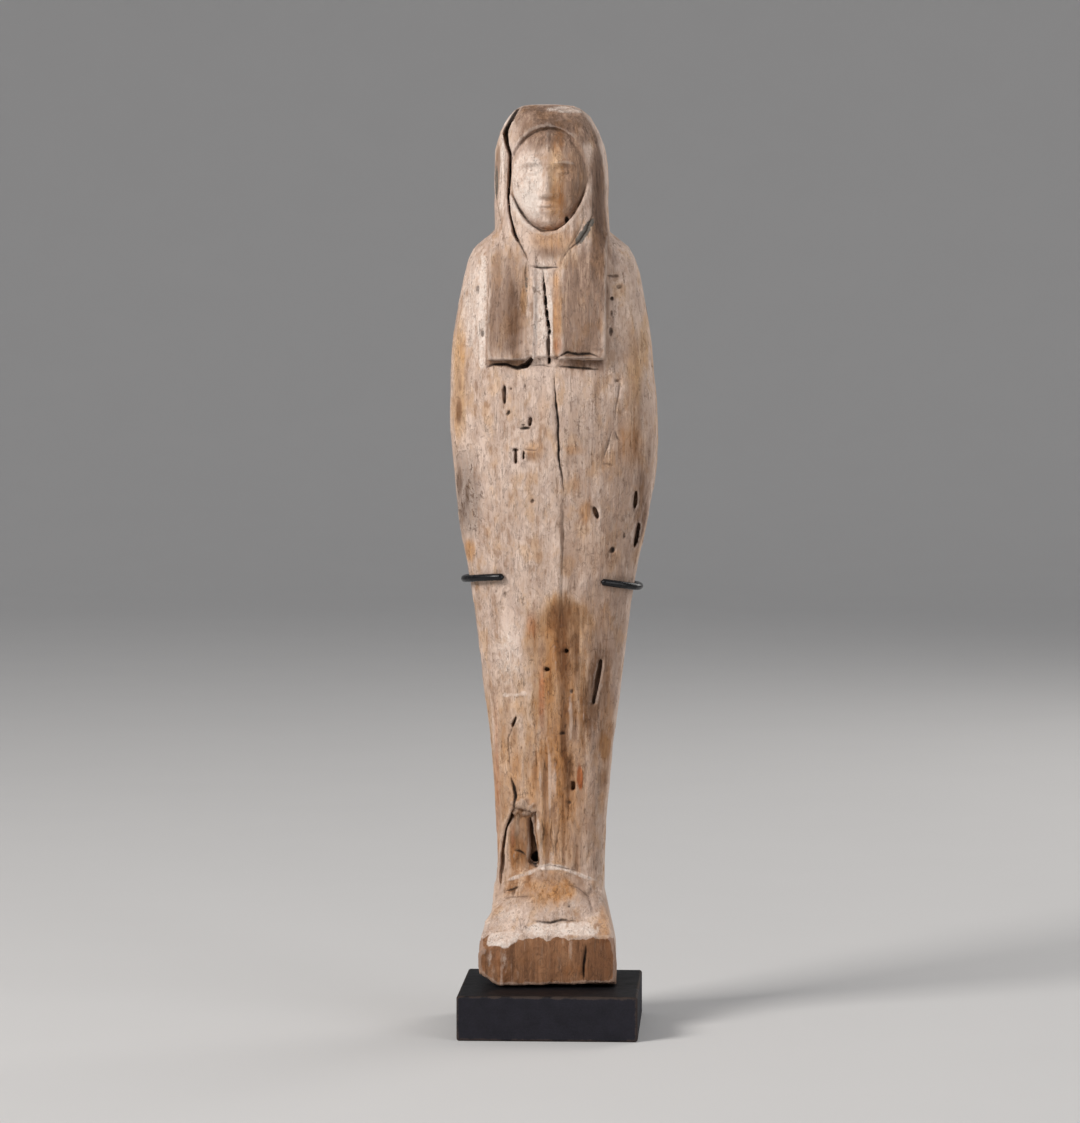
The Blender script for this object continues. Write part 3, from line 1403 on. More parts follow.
GROOVES: tuple[Groove, ...] = (
    # The long crack beside the face, and on down the edge of the wig to the collar.
    Groove(
        ((-6.8, 198.5), (-7.5, 195.6), (-8.8, 193.0), (-9.8, 190.6), (-9.4, 188.0), (-8.5, 185.0)),
        width=1.2,
        depth=1.6,
        waver=0.08,
    ),
    Groove(
        ((-9.6, 189.0), (-8.5, 185.0), (-8.7, 180.0), (-8.9, 176.0), (-8.6, 172.0)),
        width=0.5,
        depth=0.8,
        waver=0.08,
    ),
    Groove(
        ((-8.9, 176.0), (-8.5, 172.5), (-7.4, 168.0), (-6.0, 165.2), (-4.6, 162.9), (-3.8, 160.6)),
        width=0.45,
        depth=0.5,
    ),
    Groove(((-7.8, 169.4), (-7.0, 167.0)), 0.8, 0.7),
    # Carved edges of the wig, on both sides of the face and at the collar.
    Groove(((-10.6, 190.0), (-9.8, 182.0), (-9.6, 177.0), (-9.9, 173.0)), 0.4, 0.25),
    Groove(((-12.1, 184.0), (-12.0, 178.0), (-11.6, 174.5), (-10.2, 168.5), (-8.6, 163.8)), 0.4, 0.22),
    Groove(
        ((9.9, 178.5), (9.8, 172.0), (8.8, 168.6), (7.2, 166.0), (5.0, 164.3), (3.4, 161.8), (2.7, 159.8)),
        width=0.4,
        depth=0.36,
    ),
    Groove(((8.4, 172.4), (7.4, 168.8), (5.6, 165.8), (3.6, 163.0)), 0.35, 0.25),
    Groove(((-3.9, 160.5), (-1.0, 160.1), (2.8, 160.3)), 0.5, 0.5),
    Groove(((-4.6, 162.0), (-4.7, 158.6), (-4.3, 155.4)), 0.6, 0.3),
    # The cut at the front of the crown and the creases under it.
    Groove(((-1.8, 196.3), (0.6, 195.0), (4.0, 194.3), (7.6, 194.9)), 1.1, -0.32),
    Groove(((-6.0, 193.2), (0.0, 193.0), (5.0, 193.4)), 0.6, 0.18),
    Groove(((3.8, 197.2), (4.6, 196.2)), 0.5, 0.3),
    # Between and under the lappets.
    Groove(
        ((-0.9, 160.2), (-0.5, 155.0), (0.0, 150.5), (0.6, 146.0), (0.4, 144.0), (0.5, 138.2)),
        width=0.5,
        depth=0.9,
        waver=0.04,
    ),
    Groove(((-13.9, 137.9), (-12.0, 138.8), (-9.0, 138.8), (-6.6, 138.0)), 0.6, 0.6),
    Groove(((-9.0, 138.6), (-6.6, 138.0), (-4.6, 138.6), (-3.0, 140.6)), 1.0, 0.9),
    Groove(((2.0, 140.0), (4.6, 141.5), (7.0, 141.0), (9.6, 141.2), (12.4, 140.2)), 0.55, 0.6),
    Groove(((2.4, 138.4), (6.0, 138.1), (9.0, 137.9), (11.8, 137.6)), 0.5, 0.6),
    Groove(((-3.4, 138.6), (-1.0, 138.7), (1.4, 138.1)), 0.35, 0.35),
    Groove(((2.2, 160.0), (3.9, 152.0), (4.2, 143.0)), 0.3, 0.15),
    # The long check down the front, then scratches and marks on the trunk.
    Groove(((1.5, 137.8), (2.0, 131.0), (2.5, 126.0), (2.7, 118.0), (3.3, 114.0), (3.9, 109.5)), 0.5, 0.75),
    Groove(((3.4, 112.0), (3.6, 100.0), (3.0, 88.0), (2.6, 80.0)), 0.3, 0.2),
    Groove(((-15.0, 124.0), (-11.0, 124.2), (-7.6, 123.6)), 0.25, 0.1),
    Groove(((-20.6, 142.8), (-17.6, 143.1)), 0.3, 0.15),
    Groove(((-6.2, 124.5), (-3.6, 124.8)), 0.7, 0.6),
    Groove(((-7.8, 119.9), (-6.2, 119.8)), 0.6, 0.5),
    Groove(((-5.6, 120.0), (-2.0, 119.7)), 0.45, 0.3),
    Groove(((16.2, 137.4), (15.9, 133.0), (15.2, 129.0), (14.9, 125.0)), 0.4, 0.25),
    Groove(((14.6, 124.6), (13.4, 121.0), (12.3, 117.0)), 0.4, 0.3),
    Groove(((14.8, 124.6), (15.6, 122.4), (16.4, 121.6)), 0.5, 0.3),
    Groove(((12.2, 116.9), (15.0, 116.3)), 0.5, 0.25),
    # The legs and the broken shin.
    Groove(((-7.1, 60.6), (-8.3, 57.5), (-9.3, 55.0), (-9.2, 50.0), (-8.6, 46.0)), 0.4, 0.3),
    Groove(((-8.8, 46.5), (-8.2, 44.0), (-7.8, 42.0), (-8.2, 38.6)), 0.7, 0.7),
    Groove(((-10.6, 55.0), (-11.0, 52.6)), 0.3, 0.2),
    Groove(((-10.8, 30.6), (-11.4, 25.0), (-11.8, 19.0)), 0.4, 0.3),
    Groove(((-8.4, 29.6), (-6.8, 29.2), (-5.4, 28.2)), 0.45, 0.5),
    Groove(((-2.0, 37.6), (-1.4, 34.0), (-1.8, 30.0)), 0.4, 0.35),
    Groove(((0.4, 39.0), (0.2, 33.0), (0.9, 27.0)), 0.4, 0.3),
    Groove(((2.4, 37.0), (1.3, 31.0), (1.7, 27.0)), 0.4, 0.3),
    # The seam over the feet, the ledge of the toes and the raw toe face.
    Groove(
        ((-9.4, 22.6), (-6.0, 24.4), (-3.0, 25.2), (0.0, 25.9), (3.0, 25.3), (7.0, 24.2), (10.8, 22.4)),
        width=0.9,
        depth=-0.3,
    ),
    Groove(((-3.4, 25.6), (0.0, 26.4), (3.4, 25.7), (7.2, 24.7)), 0.35, 0.3),
    Groove(((-10.4, 20.2), (-8.6, 20.6), (-6.8, 21.6)), 0.6, 0.5),
    Groove(((-11.6, 18.2), (-8.0, 19.2), (-3.0, 19.7)), 0.4, 0.3),
    Groove(((3.2, 22.4), (6.4, 21.4), (8.6, 19.4), (10.2, 15.6)), 0.45, 0.3),
    Groove(((-3.6, 14.4), (0.5, 14.0), (3.0, 14.6), (6.6, 14.4)), 0.6, 0.5),
    Groove(((-6.6, 15.6), (-5.9, 13.0), (-5.0, 11.4)), 0.4, 0.25),
    Groove(((8.7, 9.8), (8.3, 5.0), (8.1, 1.2)), 0.6, 0.8),
    Groove(((7.2, 11.0), (7.0, 7.0)), 0.3, 0.3),
    # Hidden sides: a few long checks along the grain.
    *on(
        Side.BACK,
        Groove(((-4.4, 152.0), (-3.6, 122.0), (-4.6, 96.0)), 0.5, 0.6),
        Groove(((5.2, 112.0), (5.6, 82.0), (4.6, 50.0)), 0.4, 0.5),
        Groove(((-1.0, 190.0), (0.4, 176.0), (-0.6, 160.0)), 0.4, 0.4),
        Groove(((-2.2, 60.0), (-3.0, 34.0), (-2.0, 12.0)), 0.5, 0.5),
    ),
    *on(
        Side.LEFT,
        Groove(((2.0, 150.0), (2.8, 128.0), (1.4, 108.0)), 0.4, 0.4),
        Groove(((0.6, 66.0), (1.6, 44.0), (0.4, 22.0)), 0.4, 0.4),
    ),
    *on(
        Side.RIGHT,
        Groove(((1.2, 134.0), (0.2, 106.0), (1.4, 74.0)), 0.5, 0.5),
        Groove(((3.6, 188.0), (4.2, 172.0)), 0.35, 0.35),
    ),
    *itertools.starmap(small_check, CHECKS.places()),
)

PITS: tuple[Pit, ...] = (
    Pit((-8.6, 128.1), (0.8, 1.3), 0.5, 0.4),
    Pit((-8.0, 133.4), (0.6, 0.5), 0.4),
    Pit((-4.8, 134.0), (0.6, 1.4), 0.3),
    Pit((-5.0, 131.4), (0.4, 1.0), 0.2),
    Pit((-5.2, 125.4), (0.9, 0.6), 0.4),
    Pit((14.2, 153.5), (0.8, 1.0), 0.5),
    Pit((14.1, 150.2), (0.6, 1.5), 0.35),
    Pit((14.0, 146.0), (0.9, 2.0), 0.45),
    Pit((14.4, 158.4), (2.2, 0.8), 0.35),
    Pit((15.7, 156.0), (1.4, 1.2), 0.3),
    Pit((15.4, 135.2), (1.2, 0.9), 0.3),
    Pit((-15.9, 155.5), (0.9, 2.4), 0.35),
    Pit((-14.6, 145.5), (0.8, 1.6), 0.35),
    Pit((14.2, 97.5), (1.2, 1.3), 0.6),
    Pit((16.8, 100.6), (0.7, 1.6), 0.4),
    Pit((-3.2, 108.5), (0.9, 0.9), 0.4),
    Pit((-9.0, 107.5), (0.5, 1.4), 0.25),
    Pit((5.2, 65.8), (1.0, 1.0), 0.4),
    Pit((3.0, 56.3), (1.3, 0.8), 0.4),
    Pit((4.5, 40.6), (1.0, 1.0), 0.4),
    Pit((4.2, 170.8), (0.9, 1.7), 0.6),
    Pit((-3.7, 27.4), (2.0, 2.6), 1.2),
    Pit((-7.8, 28.4), (1.6, 2.6), -0.3),
    Pit((-2.0, 33.2), (1.6, 6.0), -0.35),
    Pit((-5.6, 65.3), (2.0, 1.5), -0.15),
    Pit((-6.2, 39.4), (5.4, 4.0), -1.1),
    Pit((-4.6, 38.2), (3.0, 4.0), -0.6),
    Pit((4.6, 17.4), (0.7, 0.7), 0.3),
    *itertools.starmap(small_hole, HOLES.places()),
)

PATCHES: tuple[Patch, ...] = (
    # Bare wood comes through on the front, most of all on its right half.
    Patch(Tint.BARE, (14.0, 96.0), (23.0, 70.0), 0.34, corner=3.0),
    Patch(Tint.BARE, (10.0, 124.0), (16.0, 26.0), 0.2, corner=3.0),
    Patch(Tint.HONEY, (17.4, 148.0), (6.0, 26.0), 0.2),
    Patch(Tint.BARE, (-6.0, 100.0), (20.0, 130.0), 0.1, corner=3.0),
    Patch(Tint.BARE, (4.0, 48.0), (24.0, 90.0), 0.32, corner=3.0),
    # Hidden sides: bare wood, broad stains and some of the ground.
    *on(
        Side.BACK,
        Patch(Tint.BARE, (0.0, 90.0), (40.0, 240.0), 0.3, corner=4.0),
        Patch(Tint.BARE, (2.0, 176.0), (22.0, 34.0), 0.4, corner=4.0),
        Patch(Tint.HONEY, (-6.0, 122.0), (18.0, 60.0), 0.45),
        Patch(Tint.OCHRE, (4.0, 74.0), (9.0, 44.0), 0.4),
        Patch(Tint.UMBER, (8.0, 138.0), (9.0, 34.0), 0.34),
        Patch(Tint.UMBER, (-5.0, 62.0), (5.0, 40.0), 0.34),
        Patch(Tint.CHALK, (-9.0, 148.0), (13.0, 26.0), 0.42),
        Patch(Tint.CHALK, (6.0, 100.0), (10.0, 24.0), 0.36),
        Patch(Tint.CHALK, (4.0, 36.0), (9.0, 30.0), 0.36),
        Patch(Tint.UMBER, (0.0, 167.0), (24.0, 5.0), 0.3),
        soft=0.5,
    ),
    *on(
        Side.LEFT,
        Patch(Tint.UMBER, (3.0, 100.0), (5.0, 40.0), 0.3),
        Patch(Tint.HONEY, (2.0, 60.0), (8.0, 50.0), 0.4),
        Patch(Tint.CHALK, (4.0, 140.0), (8.0, 34.0), 0.34),
        Patch(Tint.BARE, (2.0, 90.0), (18.0, 240.0), 0.3, corner=4.0),
        soft=0.5,
    ),
    *on(
        Side.RIGHT,
        Patch(Tint.HONEY, (2.0, 140.0), (7.0, 60.0), 0.5),
        Patch(Tint.UMBER, (4.0, 90.0), (4.0, 60.0), 0.34),
        Patch(Tint.CHALK, (3.0, 112.0), (8.0, 30.0), 0.3),
        Patch(Tint.OCHRE, (3.0, 40.0), (6.0, 40.0), 0.3),
        Patch(Tint.BARE, (0.0, 90.0), (30.0, 240.0), 0.3, corner=4.0),
        soft=0.5,
    ),
    # The wig: the lappets, the band over the brow and the right flank.
    Patch(Tint.BARE, (-8.6, 151.0), (10.6, 25.0), 0.6, corner=4.0, soft=0.3),
    Patch(Tint.UMBER, (-9.0, 148.0), (9.6, 19.0), 0.42, corner=3.0, soft=0.4),
    Patch(Tint.UMBER, (-8.4, 139.2), (10.6, 1.8), 0.8, corner=4.0, soft=0.3),
    Patch(Tint.UMBER, (7.2, 139.2), (10.0, 3.4), 0.5, corner=4.0, soft=0.4),
    Patch(Tint.BARE, (8.4, 151.0), (9.6, 27.0), 0.72, corner=4.0, soft=0.3),
    Patch(Tint.UMBER, (8.6, 148.0), (8.0, 20.0), 0.2, corner=3.0, soft=0.4),
    Patch(Tint.BARE, (2.6, 191.0), (19.0, 7.4), 0.85, corner=3.0, soft=0.4),
    Patch(Tint.UMBER, (2.0, 192.0), (15.0, 3.2), 0.5),
    Patch(Tint.BARE, (-1.0, 195.6), (17.0, 4.4), 0.9, corner=3.0, soft=0.4),
    Patch(Tint.UMBER, (-2.6, 195.4), (9.0, 2.6), 0.35),
    Patch(Tint.BARE, (-1.0, 187.6), (14.0, 4.6), 0.4),
    Patch(Tint.BARE, (11.4, 176.0), (3.6, 34.0), 0.95, corner=3.0, soft=0.35),
    Patch(Tint.UMBER, (11.8, 177.0), (3.4, 30.0), 0.7, corner=3.0, soft=0.5),
    Patch(Tint.OCHRE, (12.0, 183.0), (1.6, 12.0), 0.4),
    Patch(Tint.BARE, (-11.4, 183.0), (2.4, 12.0), 0.6, soft=0.5),
    Patch(Tint.UMBER, (2.4, 193.8), (12.0, 1.2), 0.3),
    Patch(Tint.OCHRE, (2.4, 150.0), (2.2, 18.0), 0.62, corner=3.0, soft=0.4),
    Patch(Tint.RUST, (2.7, 143.0), (2.2, 3.6), 0.45),
    Patch(Tint.UMBER, (-7.4, 150.0), (2.2, 14.0), 0.7),
    Patch(Tint.HONEY, (-5.0, 152.6), (1.8, 7.0), 0.8, soft=0.5),
    Patch(Tint.CHALK, (-14.6, 150.5), (1.5, 26.0), 0.9, corner=4.0, soft=0.3),
    Patch(Tint.CHALK, (-10.4, 181.0), (1.5, 18.0), 0.75, corner=3.0, soft=0.4),
    Patch(Tint.CHALK, (3.6, 195.4), (8.6, 2.0), 0.62, soft=0.5),
    Patch(Tint.CHALK, (-9.6, 194.0), (1.8, 6.0), 1.0, lean=0.55, soft=0.3),
    Patch(Tint.VERDIGRIS, (8.5, 168.3), (2.2, 6.4), 0.95, lean=0.55, soft=0.3),
    Patch(Tint.VERDIGRIS, (-11.9, 179.6), (0.9, 7.4), 0.85, soft=0.4),
    Patch(Tint.VERDIGRIS, (-4.4, 156.6), (0.9, 4.4), 0.6, soft=0.5),
    # The face, the throat and the panel under them.
    Patch(Tint.CHALK, (-4.4, 178.0), (8.0, 14.0), 0.95, soft=0.4),
    Patch(Tint.CHALK, (-3.6, 171.5), (5.0, 5.0), 0.5),
    Patch(Tint.CHALK, (-1.2, 150.0), (3.9, 23.5), 0.74, corner=5.0, soft=0.15),
    Patch(Tint.ASH, (-1.9, 150.0), (2.0, 18.0), 0.5, corner=3.0),
    Patch(Tint.CHALK, (1.0, 147.6), (0.8, 12.0), 1.0, corner=3.0, soft=0.4),
    Patch(Tint.HONEY, (1.8, 182.0), (3.4, 16.0), 0.7, soft=0.8),
    Patch(Tint.OCHRE, (1.9, 174.0), (4.4, 8.0), 0.7, soft=0.8),
    Patch(Tint.OCHRE, (0.8, 166.0), (9.0, 5.4), 0.62, soft=0.8),
    Patch(Tint.UMBER, (0.8, 163.4), (8.0, 3.0), 0.6, soft=0.9),
    Patch(Tint.OCHRE, (2.4, 188.0), (2.6, 5.0), 0.6),
    Patch(Tint.BARE, (5.8, 180.0), (6.0, 20.0), 0.75, soft=0.5),
    Patch(Tint.HONEY, (6.0, 180.0), (5.0, 16.0), 0.4),
    Patch(Tint.UMBER, (5.4, 178.0), (5.4, 17.0), 0.24, soft=0.8),
    # The trunk, front left.
    Patch(Tint.CHALK, (-17.0, 152.0), (7.0, 24.0), 0.6),
    Patch(Tint.CHALK, (-11.0, 120.0), (15.0, 34.0), 0.3),
    Patch(Tint.HONEY, (-20.2, 136.0), (3.8, 28.0), 0.75, corner=3.0, soft=0.5),
    Patch(Tint.OCHRE, (-20.4, 133.0), (2.4, 20.0), 0.2, corner=3.0),
    Patch(Tint.UMBER, (-20.3, 128.6), (1.7, 6.4), 0.9),
    Patch(Tint.UMBER, (-20.0, 134.0), (1.2, 3.0), 0.5),
    Patch(Tint.ASH, (-18.8, 108.0), (8.0, 17.0), 0.85),
    Patch(Tint.ASH, (-18.6, 118.0), (5.0, 6.0), 0.4),
    Patch(Tint.UMBER, (-20.4, 112.6), (1.8, 6.6), 0.85, soft=0.7),
    Patch(Tint.UMBER, (-18.4, 109.6), (1.0, 5.6), 0.7, soft=0.7),
    Patch(Tint.UMBER, (-19.6, 105.4), (1.3, 5.0), 0.6, soft=0.7),
    Patch(Tint.UMBER, (-16.6, 113.6), (1.0, 4.6), 0.45, soft=0.7),
    Patch(Tint.OCHRE, (-18.2, 97.2), (3.6, 5.6), 0.75, soft=0.5),
    Patch(Tint.OCHRE, (-2.8, 119.6), (4.2, 4.6), 0.55),
    Patch(Tint.UMBER, (-3.8, 118.4), (2.8, 2.6), 0.5),
    Patch(Tint.OCHRE, (-0.6, 129.0), (2.6, 9.0), 0.3, soft=0.7),
    # The trunk, front right.
    Patch(Tint.UMBER, (19.2, 126.0), (5.0, 22.0), 0.34, soft=0.7),
    Patch(Tint.OCHRE, (18.6, 121.0), (6.0, 12.0), 0.55, soft=0.7),
    Patch(Tint.HONEY, (19.0, 130.0), (4.4, 22.0), 0.5, soft=0.7),
    Patch(Tint.HONEY, (19.6, 138.0), (3.0, 16.0), 0.5),
    Patch(Tint.HONEY, (21.4, 146.0), (1.6, 14.0), 0.6, soft=0.5),
    Patch(Tint.ASH, (8.0, 125.0), (9.0, 20.0), 0.3),
    Patch(Tint.OCHRE, (6.4, 119.8), (4.6, 2.6), 0.45),
    Patch(Tint.UMBER, (5.2, 97.0), (4.4, 22.0), 0.45, corner=3.0, soft=0.5),
    Patch(Tint.OCHRE, (8.6, 106.0), (3.6, 5.6), 0.65),
    Patch(Tint.OCHRE, (10.0, 97.0), (14.0, 14.0), 0.3, soft=0.7),
    Patch(Tint.UMBER, (20.4, 104.0), (3.4, 28.0), 0.6),
    Patch(Tint.OCHRE, (6.6, 112.0), (4.0, 5.0), 0.34, soft=0.8),
    Patch(Tint.UMBER, (5.4, 117.6), (5.0, 3.4), 0.34, soft=0.8),
    Patch(Tint.UMBER, (8.6, 104.0), (5.0, 12.0), 0.26, soft=0.8),
    Patch(Tint.HONEY, (12.0, 118.0), (6.0, 8.0), 0.4, soft=0.8),
    # The belly and the legs, stained along the grain.
    Patch(Tint.OCHRE, (1.6, 76.0), (12.6, 19.0), 0.28, corner=2.2, soft=0.7),
    Patch(Tint.HONEY, (2.2, 72.0), (15.0, 30.0), 0.75),
    Patch(Tint.UMBER, (2.6, 83.0), (9.0, 6.0), 0.6, soft=0.8),
    Patch(Tint.HONEY, (3.0, 82.0), (12.0, 9.0), 0.8, soft=0.7),
    Patch(Tint.UMBER, (4.0, 77.0), (5.0, 17.0), 0.56, corner=2.2, soft=0.8),
    Patch(Tint.UMBER, (-2.6, 80.0), (5.0, 10.0), 0.34, soft=0.8),
    Patch(Tint.RUST, (-3.6, 81.0), (3.0, 6.0), 0.4, soft=0.7),
    Patch(Tint.OCHRE, (3.0, 58.0), (10.0, 44.0), 0.44, corner=2.4),
    Patch(Tint.HONEY, (0.6, 72.0), (2.6, 20.0), 0.9, soft=0.5),
    Patch(Tint.UMBER, (1.0, 73.0), (11.0, 24.0), 0.2, soft=0.8),
    Patch(Tint.UMBER, (3.4, 62.0), (2.2, 34.0), 0.66, soft=0.7),
    Patch(Tint.UMBER, (-0.6, 46.0), (1.2, 30.0), 0.34, soft=0.8),
    Patch(Tint.UMBER, (4.6, 38.0), (3.4, 26.0), 0.3, soft=0.8),
    Patch(Tint.UMBER, (6.4, 72.0), (1.3, 22.0), 0.4),
    Patch(Tint.HONEY, (2.6, 50.0), (2.0, 26.0), 0.6),
    Patch(Tint.HONEY, (7.4, 58.0), (1.8, 30.0), 0.5),
    Patch(Tint.UMBER, (10.6, 68.0), (4.4, 20.0), 0.6, lean=0.18),
    Patch(Tint.OCHRE, (1.6, 40.0), (17.0, 38.0), 0.42, corner=2.4),
    Patch(Tint.HONEY, (0.6, 42.0), (12.0, 36.0), 0.5, corner=2.4),
    Patch(Tint.HONEY, (-9.6, 44.0), (10.0, 54.0), 0.5, corner=2.4),
    Patch(Tint.OCHRE, (-10.4, 42.0), (6.0, 40.0), 0.3, soft=0.7),
    Patch(Tint.OCHRE, (-7.4, 47.0), (2.6, 12.0), 0.4, soft=0.7),
    Patch(Tint.CHALK, (-9.0, 74.5), (7.6, 18.0), 0.5),
    Patch(Tint.CHALK, (-5.5, 65.3), (1.8, 1.3), 0.62, soft=0.5),
    Patch(Tint.CHALK, (-8.6, 64.8), (4.4, 0.9), 0.5, lean=1.5, soft=0.5),
    Patch(Tint.CHALK, (-3.6, 48.0), (1.6, 28.0), 0.26, soft=0.7),
    Patch(Tint.CHALK, (-1.4, 44.0), (1.1, 24.0), 0.26, soft=0.7),
    Patch(Tint.CHALK, (1.0, 44.0), (0.9, 26.0), 0.22, soft=0.7),
    Patch(Tint.RUST, (-1.5, 65.0), (1.5, 16.0), 0.6),
    Patch(Tint.RUST, (6.8, 46.5), (1.4, 6.0), 1.0, soft=0.4),
    Patch(Tint.OCHRE, (12.2, 53.0), (2.0, 6.0), 0.9, soft=0.5),
    Patch(Tint.UMBER, (11.8, 46.0), (2.6, 5.0), 0.6),
    Patch(Tint.OCHRE, (12.6, 56.0), (3.4, 52.0), 0.5, corner=2.6),
    Patch(Tint.UMBER, (11.4, 66.0), (4.0, 26.0), 0.3, soft=0.8),
    Patch(Tint.UMBER, (9.8, 40.0), (3.0, 34.0), 0.3, soft=0.7),
    Patch(Tint.RUST, (-12.2, 46.0), (1.6, 40.0), 0.4),
    # The broken shin.
    Patch(Tint.BARE, (-6.6, 32.0), (6.6, 16.0), 0.5, corner=3.0, soft=0.4),
    Patch(Tint.ASH, (-7.4, 35.0), (3.6, 8.0), 0.25, corner=3.0, soft=0.5),
    Patch(Tint.OCHRE, (-7.4, 28.6), (4.4, 8.0), 0.7, soft=0.5),
    Patch(Tint.HONEY, (-2.0, 33.0), (2.4, 9.0), 0.7, soft=0.5),
    Patch(Tint.CHALK, (-2.6, 35.4), (0.8, 4.0), 0.7, soft=0.5),
    Patch(Tint.RUST, (-8.6, 33.0), (1.2, 7.0), 0.4, soft=0.5),
    # The feet.
    Patch(Tint.RAW, (-1.0, 4.6), (38.0, 12.4), 1.0, corner=8.0, soft=0.06, fray=0.2),
    Patch(Tint.UMBER, (11.6, 5.4), (7.4, 13.0), 0.5, corner=2.6, soft=0.5),
    Patch(Tint.RAW, (0.0, 1.0), (60.0, 15.0), 0.62, corner=8.0, soft=0.3, side=Side.ROUND, fray=0.2),
    Patch(Tint.CHALK, (-12.8, 6.4), (1.8, 5.0), 0.5, soft=0.8),
    Patch(Tint.CHALK, (-9.2, 5.4), (1.7, 8.0), 0.5, soft=0.8),
    Patch(Tint.RUST, (-11.2, 6.6), (1.8, 6.0), 0.25, soft=0.7),
    Patch(Tint.HONEY, (5.0, 3.6), (3.0, 3.0), 0.5),
    Patch(Tint.OCHRE, (-1.6, 20.8), (15.0, 6.4), 0.6, corner=2.4),
    Patch(Tint.UMBER, (-0.4, 23.6), (9.0, 2.6), 0.45),
    Patch(Tint.HONEY, (3.0, 20.8), (6.0, 4.0), 0.7, soft=0.5),
    Patch(Tint.CHALK, (6.0, 17.6), (6.0, 3.4), 0.4),
    Patch(Tint.CHALK, (-9.4, 15.4), (5.4, 4.4), 0.5),
    Patch(Tint.CHALK, (0.4, 25.9), (8.0, 1.6), 0.72, soft=0.5),
    Patch(Tint.CHALK, (0.4, 28.0), (1.6, 3.4), 0.5),
    Patch(Tint.CHALK, (-6.2, 24.0), (2.8, 3.0), 0.62, lean=2.4, soft=0.5),
    Patch(Tint.CHALK, (7.0, 24.0), (2.8, 3.2), 0.62, lean=-2.3, soft=0.5),
    Patch(Tint.CHALK, (2.8, 12.7), (16.6, 2.9), 0.74, corner=4.0, soft=0.25),
    Patch(Tint.CHALK, (-9.7, 10.6), (6.6, 3.2), 1.0, lean=0.6, corner=3.0, soft=0.25),
    Patch(Tint.OCHRE, (12.6, 14.0), (3.6, 9.0), 0.6, soft=0.5),
)


# ---------------------------------------------------------------------------
# The stand
# ---------------------------------------------------------------------------


@dataclass
class BaseBlock:
    """The small square block with the hole that the rod is set in."""

    edge_bevel: float = 0.5
    hole_radius: float = 1.7
    rod_back: float = 17.4
    hole_depth: float = 7.0
    voxel: float = 0.25
    quick_voxel: float = 0.5
    worn_reach: float = 1.5
    sharp_reach: float = 0.1
    dust_depth: float = 0.5
    clean_depth: float = 0.1
    piece: bpy.types.Object = field(init=False)

    def build(self) -> bpy.types.Object:
        """Makes the block with its rounded edges and its hole.

        Returns:
            The finished piece.
        """
        low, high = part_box("base_block")
        bm = bmesh.new()
        bmesh.ops.create_cube(bm, size=1.0)
        bmesh.ops.scale(bm, vec=high - low, verts=bm.verts)
        bmesh.ops.translate(bm, vec=(low + high) / 2, verts=bm.verts)
        ease_edges(bm, bm.edges, self.edge_bevel, 4)
        self.piece = piece_from("stand_block", bm)
        self._bore(high.z / MM)
        even_out(self.piece, self.voxel)
        hold_inside(self.piece.data, (low, high))
        write_share(self.piece.data, "edge", self._edge_share(low, high))
        below_top = (high.z - read_points(self.piece.data)[:, 2]) / MM
        write_share(self.piece.data, "dust", ramp(below_top, self.clean_depth, self.dust_depth))
        return self.piece

    def _bore(self, top: float) -> None:
        """Cuts the rod's hole down into the block from that height."""
        bm = bmesh.new()
        add_cylinder(bm, self.hole_radius, 2.0 * self.hole_depth, (0.0, self.rod_back, top))
        cutter = piece_from("hole_cutter", bm)
        modifier = self.piece.modifiers.new("hole", "BOOLEAN")
        modifier.operation = "DIFFERENCE"
        modifier.solver = "EXACT"
        modifier.object = cutter
        settle(self.piece)
        bpy.data.objects.remove(cutter)

    def _edge_share(self, low: Vector, high: Vector) -> Array:
        """How near each point is to an edge of the block, from 0 to 1."""
        points = read_points(self.piece.data)
        inset = np.minimum(points - np.array(low), np.array(high) - points)
        inset.sort(axis=1)
        return ramp(inset[:, 1] / MM, self.worn_reach, self.sharp_reach)

    def dress(self) -> None:
        """Gives the block its paint."""
        self.piece.data.materials.append(BlackPaint().make())
        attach(self.piece, BODY)
        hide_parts("base_block")


@dataclass
class UprightRod:
    """The rod that rises behind the figure from the block to the clip."""

    edge_bevel: float = 0.25
    piece: bpy.types.Object = field(init=False)

    def build(self) -> bpy.types.Object:
        """Makes the rod with eased ends.

        Returns:
            The finished piece.
        """
        low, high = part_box("upright_rod")
        size = (high - low) / MM
        bm = bmesh.new()
        add_cylinder(bm, size.x / 2, size.z, (low + high) / (2 * MM))
        rims = [edge for edge in bm.edges if abs(edge.verts[0].co.z - edge.verts[1].co.z) < 0.01 * MM]
        ease_edges(bm, rims, self.edge_bevel, 3)
        self.piece = piece_from("stand_rod", bm)
        return self.piece

    def dress(self) -> None:
        """Gives the rod its paint."""
        self.piece.data.materials.append(BlackRod().make())
        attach(self.piece, BODY)
        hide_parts("upright_rod")


